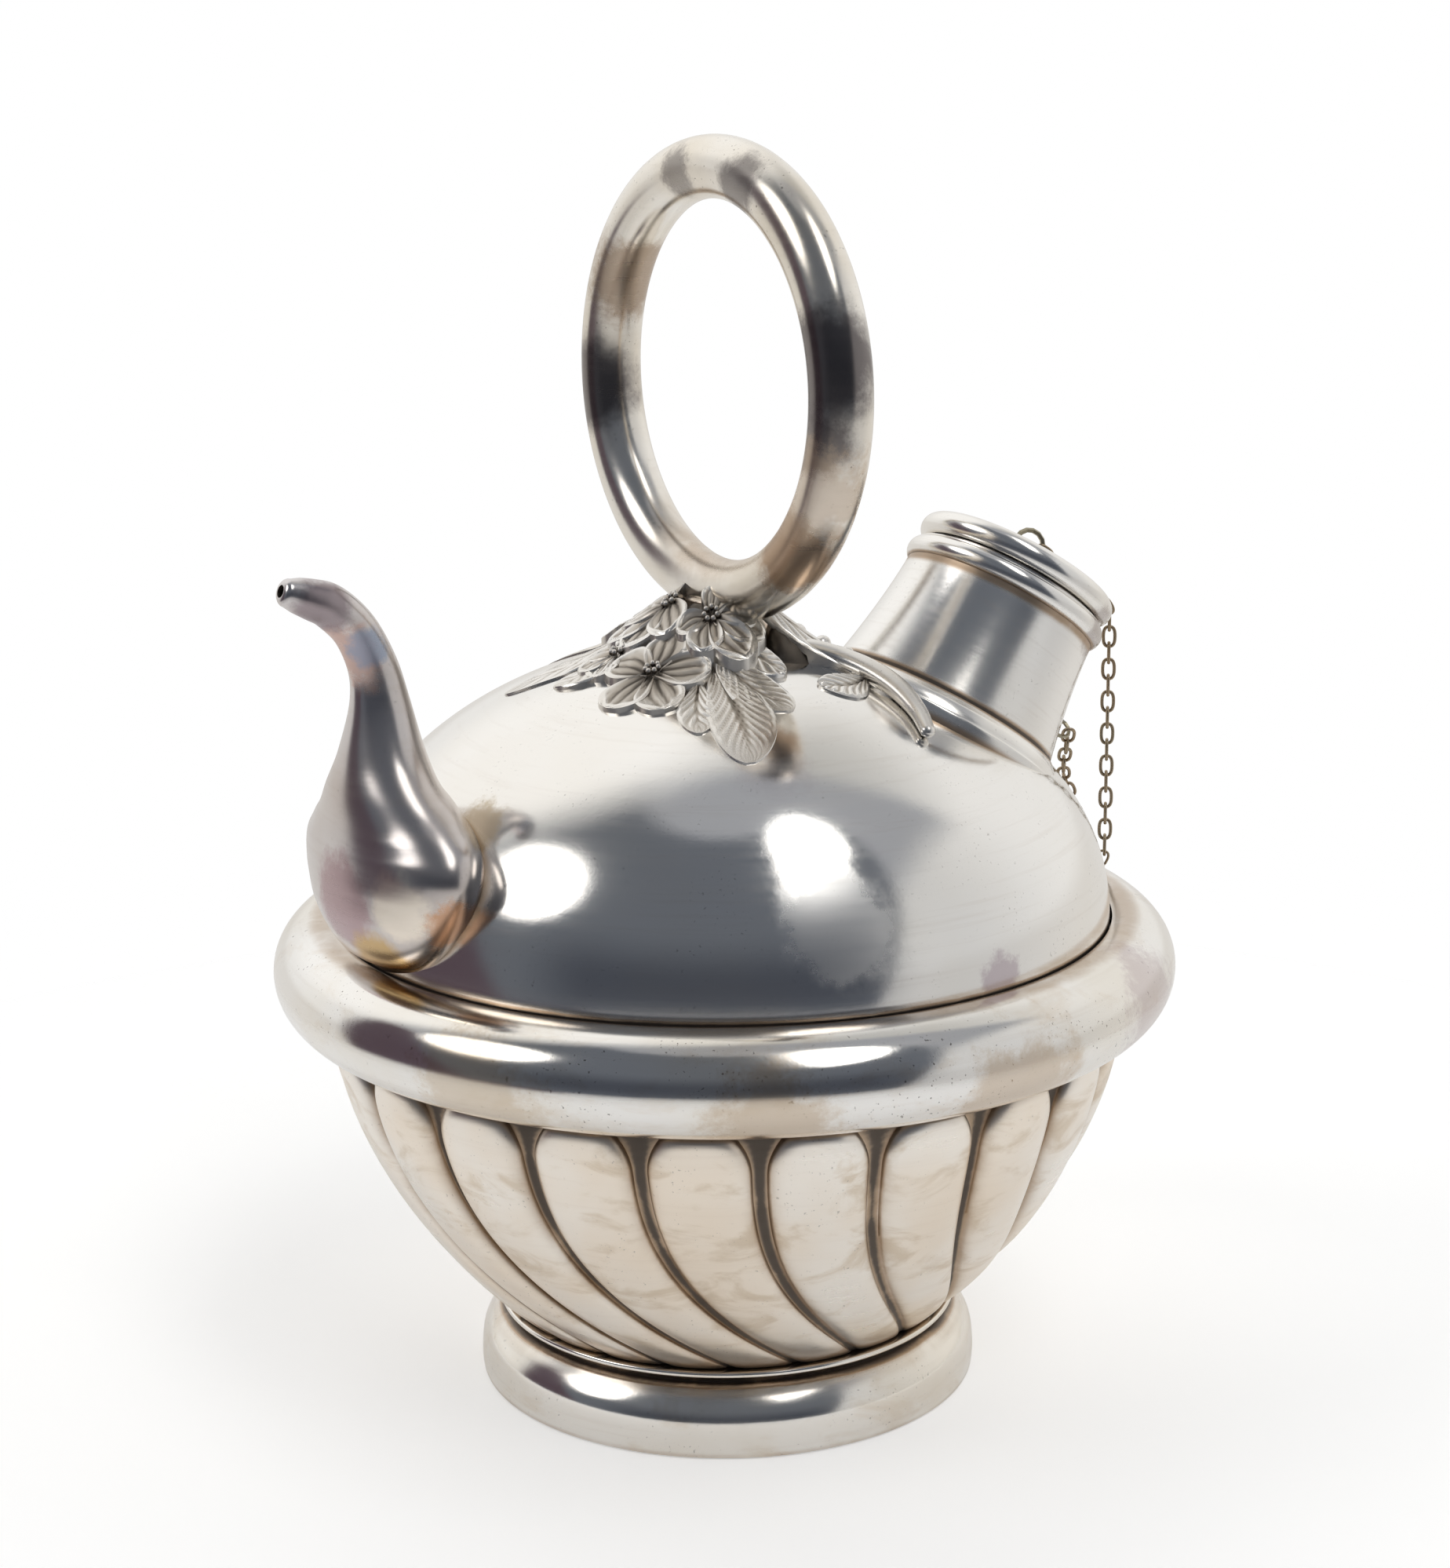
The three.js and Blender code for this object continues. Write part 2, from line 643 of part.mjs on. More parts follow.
const acrossTurn = new THREE.Vector3(1, 0, 0).applyAxisAngle(upright, rad(neckTurn));
addLink('low_link', 1, lowOut, turnLow(-0.5, 0).add(slack), acrossTurn, 135);
addLink('low_link', 2, turnLow(-0.5, 0), turnLow(0.5, 0), acrossTurn, 135);
addLink('low_link', 3, turnLow(0.5, 0), lowIn, acrossTurn, 135);

const stapleAlong = neckCrease + stapleRise;
const stapleOut = onNeck(0, 1, stapleSide).sub(onNeck(0, 0, 0));
const stapleCentre = onNeck(stapleAlong, neckOuter(stapleAlong) + 0.9, stapleSide);
const stapleWire = stapleCentre.clone().addScaledVector(stapleOut, stapleRadius);
const onDome = [[11, -15.2], [18, -16], [23, -19]].map(([up, azimuth]) => besideDome(domeCrease + up, azimuth));
const toStaple = stapleWire.clone().sub(onDome[2]).normalize();
const stapleEnd = stapleWire.clone().addScaledVector(toStaple, 0.85);
const back = new THREE.CatmullRomCurve3([lowIn, ...onDome, stapleEnd], false, 'centripetal');
const lastLink = addLinks('return_link', returnLinks, back, chainPlane);

const stapleAcross = new THREE.Vector3().setFromMatrixColumn(lastLink, 2);
stapleAcross.addScaledVector(stapleOut, -stapleAcross.dot(stapleOut)).normalize();
const neckClear = turned(neckOutside.map(([r, along]) => [r === 0 ? 0 : r + seam, along]), 32, neckMatrix);
addMesh('neck_staple', wireEye(stapleRadius, stapleWireRadius, stapleCentre, stapleOut, stapleAcross, neckClear), steel);

// Cast sprays of flowers and leaves round the boss
function overDome(x, y, lift) {
  return new THREE.Vector3(x, y, domeZ(x, y) + lift);
}

// A leaf lies on the dome from base to tip; its underside sinks in and is trimmed to the dome
function leaf(base, tip, width, lift, bend) {
  const rings = [];
  const steps = 6;
  const run = new THREE.Vector2(tip[0] - base[0], tip[1] - base[1]);
  const side = new THREE.Vector2(-run.y, run.x).normalize();
  for (let i = 0; i <= steps; i++) {
    const t = i / steps;
    const half = (width / 2) * Math.max(0.06, Math.sin(Math.PI * Math.min(1, 0.12 + 0.88 * t) ** 0.85) ** 0.8);
    const shift = bend * Math.sin(Math.PI * t);
    const rise = lift * (1 - 0.75 * t * t) + 0.4;
    const place = (across, up) => {
      const x = base[0] + run.x * t + side.x * (shift + across * half);
      const y = base[1] + run.y * t + side.y * (shift + across * half);
      return overDome(x, y, up);
    };
    rings.push([place(-1, -1), place(-1, rise * 0.35), place(-0.5, rise), place(0, rise * 0.7),
      place(0.5, rise), place(1, rise * 0.35), place(1, -1)]);
  }
  return loft(rings);
}

// A flower with thick spoon-shaped petals round a raised ring, on a stalk down into the dome
function flower(x, y, lift, lean, petals, length, width, start) {
  const centre = overDome(x, y, lift);
  const facing = new THREE.Vector3(lean[0], lean[1], 1).normalize();
  const turn = new THREE.Quaternion().setFromUnitVectors(new THREE.Vector3(0, 0, 1), facing);
  const solids = [];
  for (let i = 0; i < petals; i++) {
    const angle = rad(start) + (2 * Math.PI * i) / petals;
    const rings = [];
    for (const [t, half, up] of [[0.08, 0.5, 0.2], [0.65, 1, 1.4], [1, 0.5, 1.2]]) {
      const out = length * t;
      const ring = [];
      for (let k = 0; k < 5; k++) {
        const phase = (k * Math.PI) / 2.5;
        const across = (width / 2) * half * Math.cos(phase);
        const thick = up + 0.9 * Math.sin(phase) - 0.35 * Math.cos(phase) ** 2;
        const p = new THREE.Vector3(out, across, thick);
        p.applyAxisAngle(new THREE.Vector3(0, 0, 1), angle);
        ring.push(p.applyQuaternion(turn).add(centre));
      }
      rings.push(ring);
    }
    solids.push(loft(rings));
  }
  const top = centre.clone().addScaledVector(facing, 1.8);
  solids.push(rod(centre.clone().addScaledVector(facing, -1), top, 2.2, 8));
  solids.push(rod(new THREE.Vector3(x, y, domeZ(x, y) - 3), centre, 3.4, 8));
  return union(solids);
}

function lump(x, y, lift, rx, ry, rz, turn = 0, detail = 1) {
  const geometry = new THREE.IcosahedronGeometry(1, detail);
  geometry.scale(rx, ry, rz);
  geometry.rotateZ(rad(turn));
  const centre = overDome(x, y, lift);
  geometry.translate(centre.x, centre.y, centre.z);
  return toSolid(geometry);
}

// A tapering tendril laid over the dome through the given points
function tendril(points, thick, thin) {
  const curve = new THREE.CatmullRomCurve3(points.map(([x, y]) => overDome(x, y, 0)));
  const rings = [];
  const steps = 6;
  for (let i = 0; i <= steps; i++) {
    const t = i / steps;
    const at = curve.getPoint(t);
    const along = curve.getTangent(t);
    const out = new THREE.Vector3().crossVectors(along, new THREE.Vector3(0, 0, 1)).normalize();
    const up = new THREE.Vector3().crossVectors(out, along);
    const half = thick + (thin - thick) * t;
    const ring = [];
    for (let k = 0; k < 6; k++) {
      const phase = (k * Math.PI) / 3;
      const p = at.clone().addScaledVector(out, half * Math.cos(phase));
      ring.push(p.addScaledVector(up, half * Math.sin(phase)));
    }
    rings.push(ring);
  }
  return loft(rings);
}

const bossClear = turned(bossProfile.map(([r, z]) => [r === 0 ? 0 : r + seam, z === bossHeight ? z + seam : z]), 24);

function casting(solids) {
  return union(solids).subtract(domeClear).subtract(bossClear).subtract(ringClear).subtract(skirtClear);
}

const frontLean = [-0.3, -0.5];
addMesh('floral_spray_front', casting([
  lump(-15, -11, 0, 11, 8, 3.6, -20, 0),
  lump(-18, 0, 0, 6, 9, 3.6, 0, 0),
  flower(-21, -8, 3.6, frontLean, 5, 9, 7, 30),
  flower(-18, 5, 4.2, [-0.4, 0.1], 5, 8, 6.5, 10),
  flower(-9, -12, 5, [0.1, -0.5], 3, 9, 6.5, 80),
  leaf([-14, -12], [-22, -43], 11.5, 2.4, 1.5),
  leaf([-20, -13], [-24, -28], 6, 2, -1),
  leaf([-5, -12], [-5.5, -32.5], 9, 2.4, -1.5),
  leaf([-19, -4], [-44, 5], 10, 2.4, 1.5),
  leaf([-16, 3], [-33, 25], 10, 2.4, -1.5),
]), oxidised);

addMesh('floral_spray_neck', casting([
  lump(10, -14, 0.4, 6, 5.4, 3, 30),
  leaf([6, -10], [17.5, -15], 8, 3.6, -1.5),
  tendril([[8, -15], [9.5, -24.5], [12, -32], [15.2, -38], [16.3, -46.6]], 2.6, 1.3),
  lump(9.4, -23, 0.5, 3.4, 5, 2.2, 20),
  lump(13.5, -30.5, 0.5, 2.8, 4.2, 1.9, 30),
  lump(15.5, -21, 0.3, 3, 4.4, 1.8, -30),
  lump(13.2, -17.4, 0.5, 4, 4, 2.2),
]), oxidised);

addMesh('floral_spray_back', casting([
  lump(-4, 20, 0, 10, 8, 3.6, 20, 0),
  flower(-5, 19, 3.8, [-0.2, 0.5], 5, 9, 7, 0),
  leaf([-8, 20], [-14, 44], 11.5, 2.4, -1.5),
  leaf([-1, 19], [4, 42], 9, 2.4, 1.5),
  tendril([[1, 19], [9, 24], [14, 34], [16, 46]], 2.6, 1.3),
]), oxidised);

export default jug;
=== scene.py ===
import json
import math

import bmesh
import bpy
import numpy as np
from mathutils import Matrix, Quaternion, Vector


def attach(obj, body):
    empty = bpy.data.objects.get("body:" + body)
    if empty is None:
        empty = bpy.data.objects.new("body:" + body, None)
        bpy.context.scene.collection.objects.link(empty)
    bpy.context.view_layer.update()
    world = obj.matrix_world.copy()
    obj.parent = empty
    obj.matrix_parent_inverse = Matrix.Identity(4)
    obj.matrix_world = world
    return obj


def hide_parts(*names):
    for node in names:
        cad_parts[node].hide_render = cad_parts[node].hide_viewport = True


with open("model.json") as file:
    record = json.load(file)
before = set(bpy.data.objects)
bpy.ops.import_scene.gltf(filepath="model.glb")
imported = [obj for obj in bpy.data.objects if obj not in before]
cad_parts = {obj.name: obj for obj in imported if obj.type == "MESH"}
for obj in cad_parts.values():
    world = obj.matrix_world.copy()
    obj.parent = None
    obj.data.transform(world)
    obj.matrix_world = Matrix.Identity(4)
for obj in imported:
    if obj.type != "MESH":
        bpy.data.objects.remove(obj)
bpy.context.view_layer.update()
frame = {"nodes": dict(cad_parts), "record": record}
nodes = frame["nodes"]
MM = 0.001

# Sizes in millimetres, the same as the solids have unless said otherwise
SEAM = 0.3
SHEET = 1.3

FOOT_HEIGHT = 16.4
FOOT_RADIUS = 51.1
FOOT_FLANGE = 47.1
FOOT_WAIST = 45.6
FOOT_TOP_HOLE = 40
FOOT_BAND = FOOT_RADIUS - 4.6  # inner edge of the band turned in at the floor

BOWL_BASE = FOOT_HEIGHT + SEAM
BOWL_BASE_RADIUS = 45.9
BOWL_RADIUS = 80.4
BOWL_SHOULDER = 76.9
BOWL_ROUND = 1.79  # exponents of the side curve
BOWL_FALL = 1.6
LOBES = 22
LOBE_DEPTH = 2.85
LOBE_DEPTH_BASE = 0.9
DEPTH_RISE = 30  # height over which the lobes grow to full depth
FIRST_GROOVE = -118.4  # degrees, at the top of the bowl
SWIRL = 29.0  # degrees
SWIRL_POWER = 3.2
PANEL_SHARE = 0.44  # half of a lobe's share of its pitch
PANEL_SHARE_TOP = 0.27  # narrower than on the solid, and over a longer end
PANEL_END = 9.0

DOME_RADIUS = 77.5
DOME_CREASE = 97.0
DOME_RISE = 54.0
DOME_WALL = 1.2

RIM_RADIUS = 80.7
RIM_HEIGHT = 87.5
RIM_TUBE = 10.0

RING_RADIUS = 40.94
RING_HEIGHT = 202.99
RING_TUBE = 6.07
BOSS_FOOT = 12.0
BOSS_TOP = 7.6
BOSS_HEIGHT = 161.0

NECK_REACH = 47.0
NECK_BEARING = -24.8
NECK_TURN = 0.9
NECK_TILT = 34.7
NECK_CREASE = -4.7
NECK_RISE = 26.8
NECK_LIP = NECK_CREASE + NECK_RISE
NECK_RADIUS = 20.5
NECK_SPREAD = 3.5
NECK_POWER = 1.6
NECK_FOOT = NECK_RADIUS + NECK_SPREAD
NECK_WALL = 1.1
NECK_DEPTH = 20  # how far neck and skirt go on below the crease
LIP_RADIUS = 21.7
LIP_TUBE = 2.5
SKIRT_RADIUS = NECK_FOOT + 3.5

STOPPER_TUBE = 2.6
STOPPER_RADIUS = 21.3
STOPPER_BEAD = NECK_LIP + LIP_TUBE + SEAM + STOPPER_TUBE
CROWN_RISE = 2.7
CAP_THICK = 1.4
SLEEVE_LENGTH = 12.0
SLEEVE_WALL = 1

# Sizes of this script alone
PORT_RADIUS = 21.6  # hole in the dome under the neck
LINK_WIRE = 0.34  # radius
OPENED_LINK_WIRE = 0.27  # thinner at the chain's opened pivot, where two links run close
OPENED_LINKS = ("low_link_01", "low_link_02")
LINK_HALF_WIDTH = 1.18  # to the middle of the wire

# The camera, in metres, as solved from the photograph
CAMERA_PLACE = Vector((-0.3279, -0.5072, 0.2720))
CAMERA_FORWARD = Vector((0.5275, 0.8148, -0.2405))
CAMERA_ROLL = -0.008
FOCAL_PIXELS = 3956.5
PHOTO_HEIGHT = 1998
SENSOR = 36  # millimetres, along the photograph's height


def add(name, data):
    """A new object in the scene."""
    piece = bpy.data.objects.new(name, data)
    bpy.context.scene.collection.objects.link(piece)
    return piece


# Meshes

class Build:
    """Gathers points, faces and a wear_and_shade value for each point: wear and tarnish, and in the bowl's
    grooves painted shade.
    """

    def __init__(self):
        self.points, self.faces, self.dirt, self.count = [], [], [], 0

    def grid(self, points, dirt, wrap_rows=False, wrap_columns=True, flip=False):
        rows, columns = points.shape[:2]
        start = self.count
        self.points.append(points.reshape(-1, 3))
        self.dirt.append(np.broadcast_to(dirt, (rows, columns)).reshape(-1))
        self.count += rows * columns
        for i in range(rows if wrap_rows else rows - 1):
            for j in range(columns if wrap_columns else columns - 1):
                a = start + i * columns + j
                b = start + i * columns + (j + 1) % columns
                c = start + ((i + 1) % rows) * columns + (j + 1) % columns
                d = start + ((i + 1) % rows) * columns + j
                self.faces.append((d, c, b, a) if flip else (a, b, c, d))
        return start

    def cap(self, start, columns, flip=False):
        ring = [start + j for j in range(columns)]
        self.faces.append(tuple(ring[::-1] if flip else ring))

    def make(self, name, material, sharp=40.0, matrix=None):
        points = np.concatenate(self.points) * MM
        if matrix is not None:
            points = points @ np.array(matrix.to_3x3()).T + np.array(matrix.translation) * MM
        mesh = bpy.data.meshes.new(name)
        mesh.from_pydata(points.tolist(), [], self.faces)
        mesh.validate()
        layer = mesh.attributes.new("wear_and_shade", "FLOAT", "POINT")
        layer.data.foreach_set("value", np.concatenate(self.dirt).astype(np.float32))
        mesh.materials.append(material)
        for face in mesh.polygons:
            face.use_smooth = True
        mesh.set_sharp_from_angle(angle=math.radians(sharp))
        return add(name, mesh)


def smooth_path(points, per_span):
    """A Catmull-Rom line through the points."""
    p = np.array(points, float)
    p = np.vstack([2 * p[0] - p[1], p, 2 * p[-1] - p[-2]])
    line = []
    for i in range(1, len(p) - 2):
        for k in range(per_span):
            t = k / per_span
            a, b, c, d = p[i - 1], p[i], p[i + 1], p[i + 2]
            line.append(0.5 * (2 * b + (c - a) * t + (2 * a - 5 * b + 4 * c - d) * t * t
                               + (3 * b - a - 3 * c + d) * t ** 3))
    return np.array(line + [p[-2]])


def arc(cx, cz, radius, start, end, steps):
    """Points of an arc, its ends in degrees."""
    angles = np.radians(np.linspace(start, end, steps + 1))
    return np.stack([cx + radius * np.cos(angles), cz + radius * np.sin(angles)], 1)


def straight(points, step=1.5):
    """A broken line, cut into steps."""
    line = []
    for a, b in zip(points[:-1], points[1:]):
        n = max(1, int(math.dist(a, b) / step))
        line += [np.array(a) + (np.array(b) - np.array(a)) * k / n for k in range(n)]
    return np.array(line + [np.array(points[-1])])


def turned(profile, segments, dirt):
    """A profile of (radius, height) turned about the axis; dirt gives the wear_and_shade value at each of its
    points.
    """
    angles = np.linspace(0, 2 * math.pi, segments, endpoint=False)
    points = np.zeros((len(profile), segments, 3))
    points[:, :, 0] = profile[:, :1] * np.cos(angles)
    points[:, :, 1] = profile[:, :1] * np.sin(angles)
    points[:, :, 2] = profile[:, 1:]
    build = Build()
    build.grid(points, dirt(profile[:, 0], profile[:, 1])[:, None])
    return build


def near(value, place, width):
    """One at the place, fading over the width."""
    return np.exp(-((value - place) / width) ** 2)


# Materials

class Nodes:
    """A node tree, with a short call for each kind of node."""

    def __init__(self, tree):
        self.tree = tree

    def new(self, kind, **settings):
        node = self.tree.nodes.new(kind)
        for key, value in settings.items():
            setattr(node, key, value)
        return node

    def put(self, socket, value):
        if isinstance(value, bpy.types.NodeSocket):
            self.tree.links.new(value, socket)
        else:
            socket.default_value = value

    def math(self, operation, a, b=None, c=None, clamp=False):
        node = self.new("ShaderNodeMath", operation=operation, use_clamp=clamp)
        for socket, value in zip(node.inputs, (a, b, c)):
            if value is not None:
                self.put(socket, value)
        return node.outputs[0]

    def mix(self, factor, a, b):
        node = self.new("ShaderNodeMix", data_type="RGBA")
        self.put(node.inputs["Factor"], factor)
        self.put(node.inputs[6], a if not isinstance(a, tuple) else (*a, 1))
        self.put(node.inputs[7], b if not isinstance(b, tuple) else (*b, 1))
        return node.outputs[2]

    def noise(self, vector, scale, detail=4.0, rough=0.55, distortion=0.0):
        node = self.new("ShaderNodeTexNoise")
        self.put(node.inputs["Vector"], vector)
        node.inputs["Scale"].default_value = scale
        node.inputs["Detail"].default_value = detail
        node.inputs["Roughness"].default_value = rough
        node.inputs["Distortion"].default_value = distortion
        return node.outputs["Fac"]

    def ramp(self, value, low, high, out_low=0.0, out_high=1.0):
        node = self.new("ShaderNodeMapRange", clamp=True, interpolation_type="SMOOTHSTEP")
        self.put(node.inputs["Value"], value)
        for key, number in zip(("From Min", "From Max", "To Min", "To Max"), (low, high, out_low, out_high)):
            node.inputs[key].default_value = number
        return node.outputs[0]

    def attribute(self, name):
        return self.new("ShaderNodeAttribute", attribute_name=name).outputs["Fac"]

    def combine(self, x, y, z):
        node = self.new("ShaderNodeCombineXYZ")
        for socket, value in zip(node.inputs, (x, y, z)):
            self.put(socket, value)
        return node.outputs[0]


class Surface(Nodes):
    """A material's nodes, with its shader and its object coordinates."""

    def __init__(self, name):
        self.material = bpy.data.materials.new(name)
        self.material.use_nodes = True
        super().__init__(self.material.node_tree)
        self.shader = self.tree.nodes["Principled BSDF"]
        self.here = self.new("ShaderNodeTexCoord").outputs["Object"]

    def around(self, matrix=None):
        """Object coordinates as angle about the axis and height along it, for turned wipe marks."""
        here = self.here
        if matrix is not None:
            back = matrix.inverted()
            turn = self.new("ShaderNodeMapping", vector_type="POINT")
            self.put(turn.inputs["Vector"], here)
            turn.inputs["Rotation"].default_value = back.to_euler()
            turn.inputs["Location"].default_value = back.translation * MM
            here = turn.outputs["Vector"]
        parts = self.new("ShaderNodeSeparateXYZ")
        self.put(parts.inputs[0], here)
        angle = self.math("ARCTAN2", parts.outputs[1], parts.outputs[0])
        return angle, parts.outputs[2]


CLEAN = (0.92, 0.905, 0.88)
CREAM = (0.86, 0.81, 0.72)
BROWN = (0.45, 0.32, 0.21)
# Black of heavy tarnish, also the colour of the painted shade along the floors of the bowl's grooves
BLACK_TARNISH_AND_SHADE = (0.13, 0.11, 0.095)
TEA = (0.66, 0.53, 0.38)
GREY = (0.16, 0.14, 0.14)
MAUVE = (0.48, 0.38, 0.44)
RUST = (0.55, 0.4, 0.25)


def silver(name, rough, warmth, specks, clean=CLEAN, warm=CREAM, brown=BROWN, dark=BLACK_TARNISH_AND_SHADE, streak=1.0,
           blotch=0.0, matrix=None, grain=1.0, dented=0.5, stains_and_reflections=()):
    """Silver whose wear_and_shade value turns it brown, then black: wear and tarnish, and in the bowl's
    grooves painted shade.

    warmth, specks, streak and blotch are strengths of its tarnish; grain and matrix set the wipe marks.
    Each entry of stains_and_reflections, a stain or a painted reflection, is a centre and radius in mm, a
    colour, how far it covers, how ragged its edge is and how much rougher it makes the metal.
    """
    n = Surface(name)
    angle, height = n.around(matrix)
    wiped = n.combine(n.math("MULTIPLY", angle, 1.6), n.math("MULTIPLY", height, 700.0 * grain), 0.0)
    streaks = n.noise(wiped, 1.0, 3.0, 0.6)
    broad = n.noise(n.here, 28.0, 3.0, 0.5)
    patches = n.noise(n.here, 75.0, 5.0, 0.62, 0.4)
    dots = n.noise(n.here, 1500.0, 2.0, 0.5)
    wear_and_shade = n.attribute("wear_and_shade")
    tint = n.mix(n.ramp(broad, 0.35, 0.7, 0.0, warmth), clean, warm)
    if blotch:
        along = n.new("ShaderNodeMapping")
        n.put(along.inputs["Vector"], n.here)
        along.inputs["Scale"].default_value = (1, 1, 2.2)
        cloud = n.noise(along.outputs["Vector"], 60.0, 6.0, 0.6, 0.6)
        tint = n.mix(n.ramp(cloud, 0.5, 0.68, 0.0, blotch), tint, TEA)
    tint = n.mix(n.math("MULTIPLY", n.ramp(streaks, 0.5, 0.8), 0.1 * streak), tint, brown)
    speck = n.math("MULTIPLY", n.ramp(dots, 0.66, 0.74), n.ramp(patches, 0.42, 0.62, 0.0, specks))
    tint = n.mix(speck, tint, dark)
    rougher = 0.0
    for centre, radius, colour, cover, ragged, haze in stains_and_reflections:
        away = n.new("ShaderNodeVectorMath", operation="DISTANCE")
        n.put(away.inputs[0], n.here)
        away.inputs[1].default_value = Vector(centre) * MM
        inward = n.math("MULTIPLY_ADD", away.outputs["Value"], -1 / (radius * MM), 1 - ragged)
        grains = n.math("MULTIPLY_ADD", n.noise(n.here, 1500.0 / radius, 7.0, 0.72), 2 * ragged, inward)
        spread = n.ramp(grains, 0.0, 0.45, 0.0, cover)
        tint = n.mix(spread, tint, colour)
        rougher = n.math("MULTIPLY_ADD", spread, haze, rougher)
    # Wear and tarnish, and the painted shade of the bowl's grooves, turn the metal brown, then black
    worn_and_shaded = n.math("MULTIPLY", wear_and_shade, n.ramp(patches, 0.2, 0.6, 0.7, 1.2), clamp=True)
    tint = n.mix(n.ramp(worn_and_shaded, 0.1, 0.5, 0.0, 0.9), tint, brown)
    tint = n.mix(n.ramp(worn_and_shaded, 0.45, 0.85, 0.0, 0.95), tint, dark)
    n.put(n.shader.inputs["Base Color"], tint)
    n.shader.inputs["Metallic"].default_value = 1.0
    roughness = n.math("ADD", n.math("MULTIPLY", worn_and_shaded, 0.3), n.ramp(streaks, 0.2, 0.8, rough, rough + 0.05))
    roughness = n.math("ADD", roughness, n.ramp(broad, 0.3, 0.7, -0.02, 0.03))
    n.put(n.shader.inputs["Roughness"], n.math("ADD", roughness, rougher, clamp=True))
    bump = n.new("ShaderNodeBump")
    bump.inputs["Strength"].default_value = 0.25
    bump.inputs["Distance"].default_value = 0.0002
    fine = n.math("MULTIPLY", n.math("ADD", streaks, n.noise(n.here, 900.0, 2.0)), 0.1 * streak)
    n.put(bump.inputs["Height"], n.math("MULTIPLY_ADD", n.noise(n.here, 110.0, 2.0), dented, fine))
    n.put(n.shader.inputs["Normal"], bump.outputs["Normal"])
    return n.material


def dome_z(x, y):
    return DOME_CREASE + DOME_RISE * math.sqrt(max(0.0, 1 - (x * x + y * y) / DOME_RADIUS ** 2))


neck_x = NECK_REACH * math.cos(math.radians(NECK_BEARING))
neck_y = NECK_REACH * math.sin(math.radians(NECK_BEARING))
neck_matrix = (Matrix.Translation((neck_x, neck_y, dome_z(neck_x, neck_y)))
               @ Matrix.Rotation(math.radians(NECK_TURN), 4, "Z")
               @ Matrix.Rotation(math.radians(NECK_TILT), 4, "Y"))

# Stains, and the painted reflections among them, lie where the photograph shows them
dome_silver = silver(
    "dome_silver", rough=0.1, warmth=0.3, specks=0.35,
    stains_and_reflections=[
        ((-20.8, -70.6, 113.0), 13.0, (0.92, 0.91, 0.89), 0.6, 0.5, 0.34),
        ((11.5, -76.6, 99.5), 6.0, MAUVE, 0.6, 0.7, 0.1),
        ((-65.5, -15.0, 127.0), 8.0, (0.58, 0.48, 0.34), 0.85, 0.6, 0.12),
        # A painted reflection of a leaf of the front spray in the dome
        ((-19.0, -47.0, 137.0), 9.0, (0.7, 0.65, 0.66), 0.3, 0.6, 0.1),
    ])
bowl_silver = silver(
    "bowl_silver", rough=0.25, warmth=1.0, specks=0.4, blotch=0.6, streak=0.6,
    clean=(0.97, 0.92, 0.85), warm=(0.93, 0.82, 0.69))
rim_silver = silver(
    "rim_silver", rough=0.09, warmth=0.7, specks=0.9, blotch=0.25,
    stains_and_reflections=[
        ((-40.0, -76.0, 80.0), 16.0, RUST, 0.55, 0.9, 0.1),
        ((5.0, -85.0, 80.0), 18.0, RUST, 0.55, 0.9, 0.1),
        ((48.0, -74.0, 86.0), 16.0, (0.5, 0.4, 0.42), 0.5, 0.9, 0.08),
        ((-78.0, -40.0, 82.0), 16.0, (0.6, 0.46, 0.3), 0.5, 0.9, 0.1),
    ])
foot_silver = silver(
    "foot_silver", rough=0.11, warmth=0.9, specks=0.5, blotch=0.3,
    clean=(0.93, 0.9, 0.85), warm=(0.84, 0.77, 0.66))
ring_silver = silver(
    "ring_silver", rough=0.15, warmth=0.9, specks=0.7, streak=0.6, dented=0.8,
    clean=(0.91, 0.88, 0.83), warm=(0.8, 0.73, 0.62),
    stains_and_reflections=[
        ((-4.0, -41.5, 210.0), 13.5, GREY, 0.92, 0.4, 0.05),
        ((-5.0, -40.5, 196.0), 8.5, GREY, 0.9, 0.4, 0.05),
        ((-4.0, 41.5, 199.0), 12.0, GREY, 0.9, 0.35, 0.05),
        ((-4.0, -31.0, 174.0), 12.0, (0.42, 0.27, 0.16), 0.85, 0.6, 0.1),
        ((-4.0, -15.0, 241.0), 7.5, GREY, 0.75, 0.5, 0.1),
        ((-4.0, 6.0, 243.0), 6.0, GREY, 0.65, 0.6, 0.1),
        ((0.0, 32.0, 221.0), 12.0, (0.4, 0.29, 0.2), 0.8, 0.6, 0.1),
        ((-4.0, -38.0, 187.0), 13.0, (0.6, 0.47, 0.35), 0.6, 0.9, 0.1),
    ])
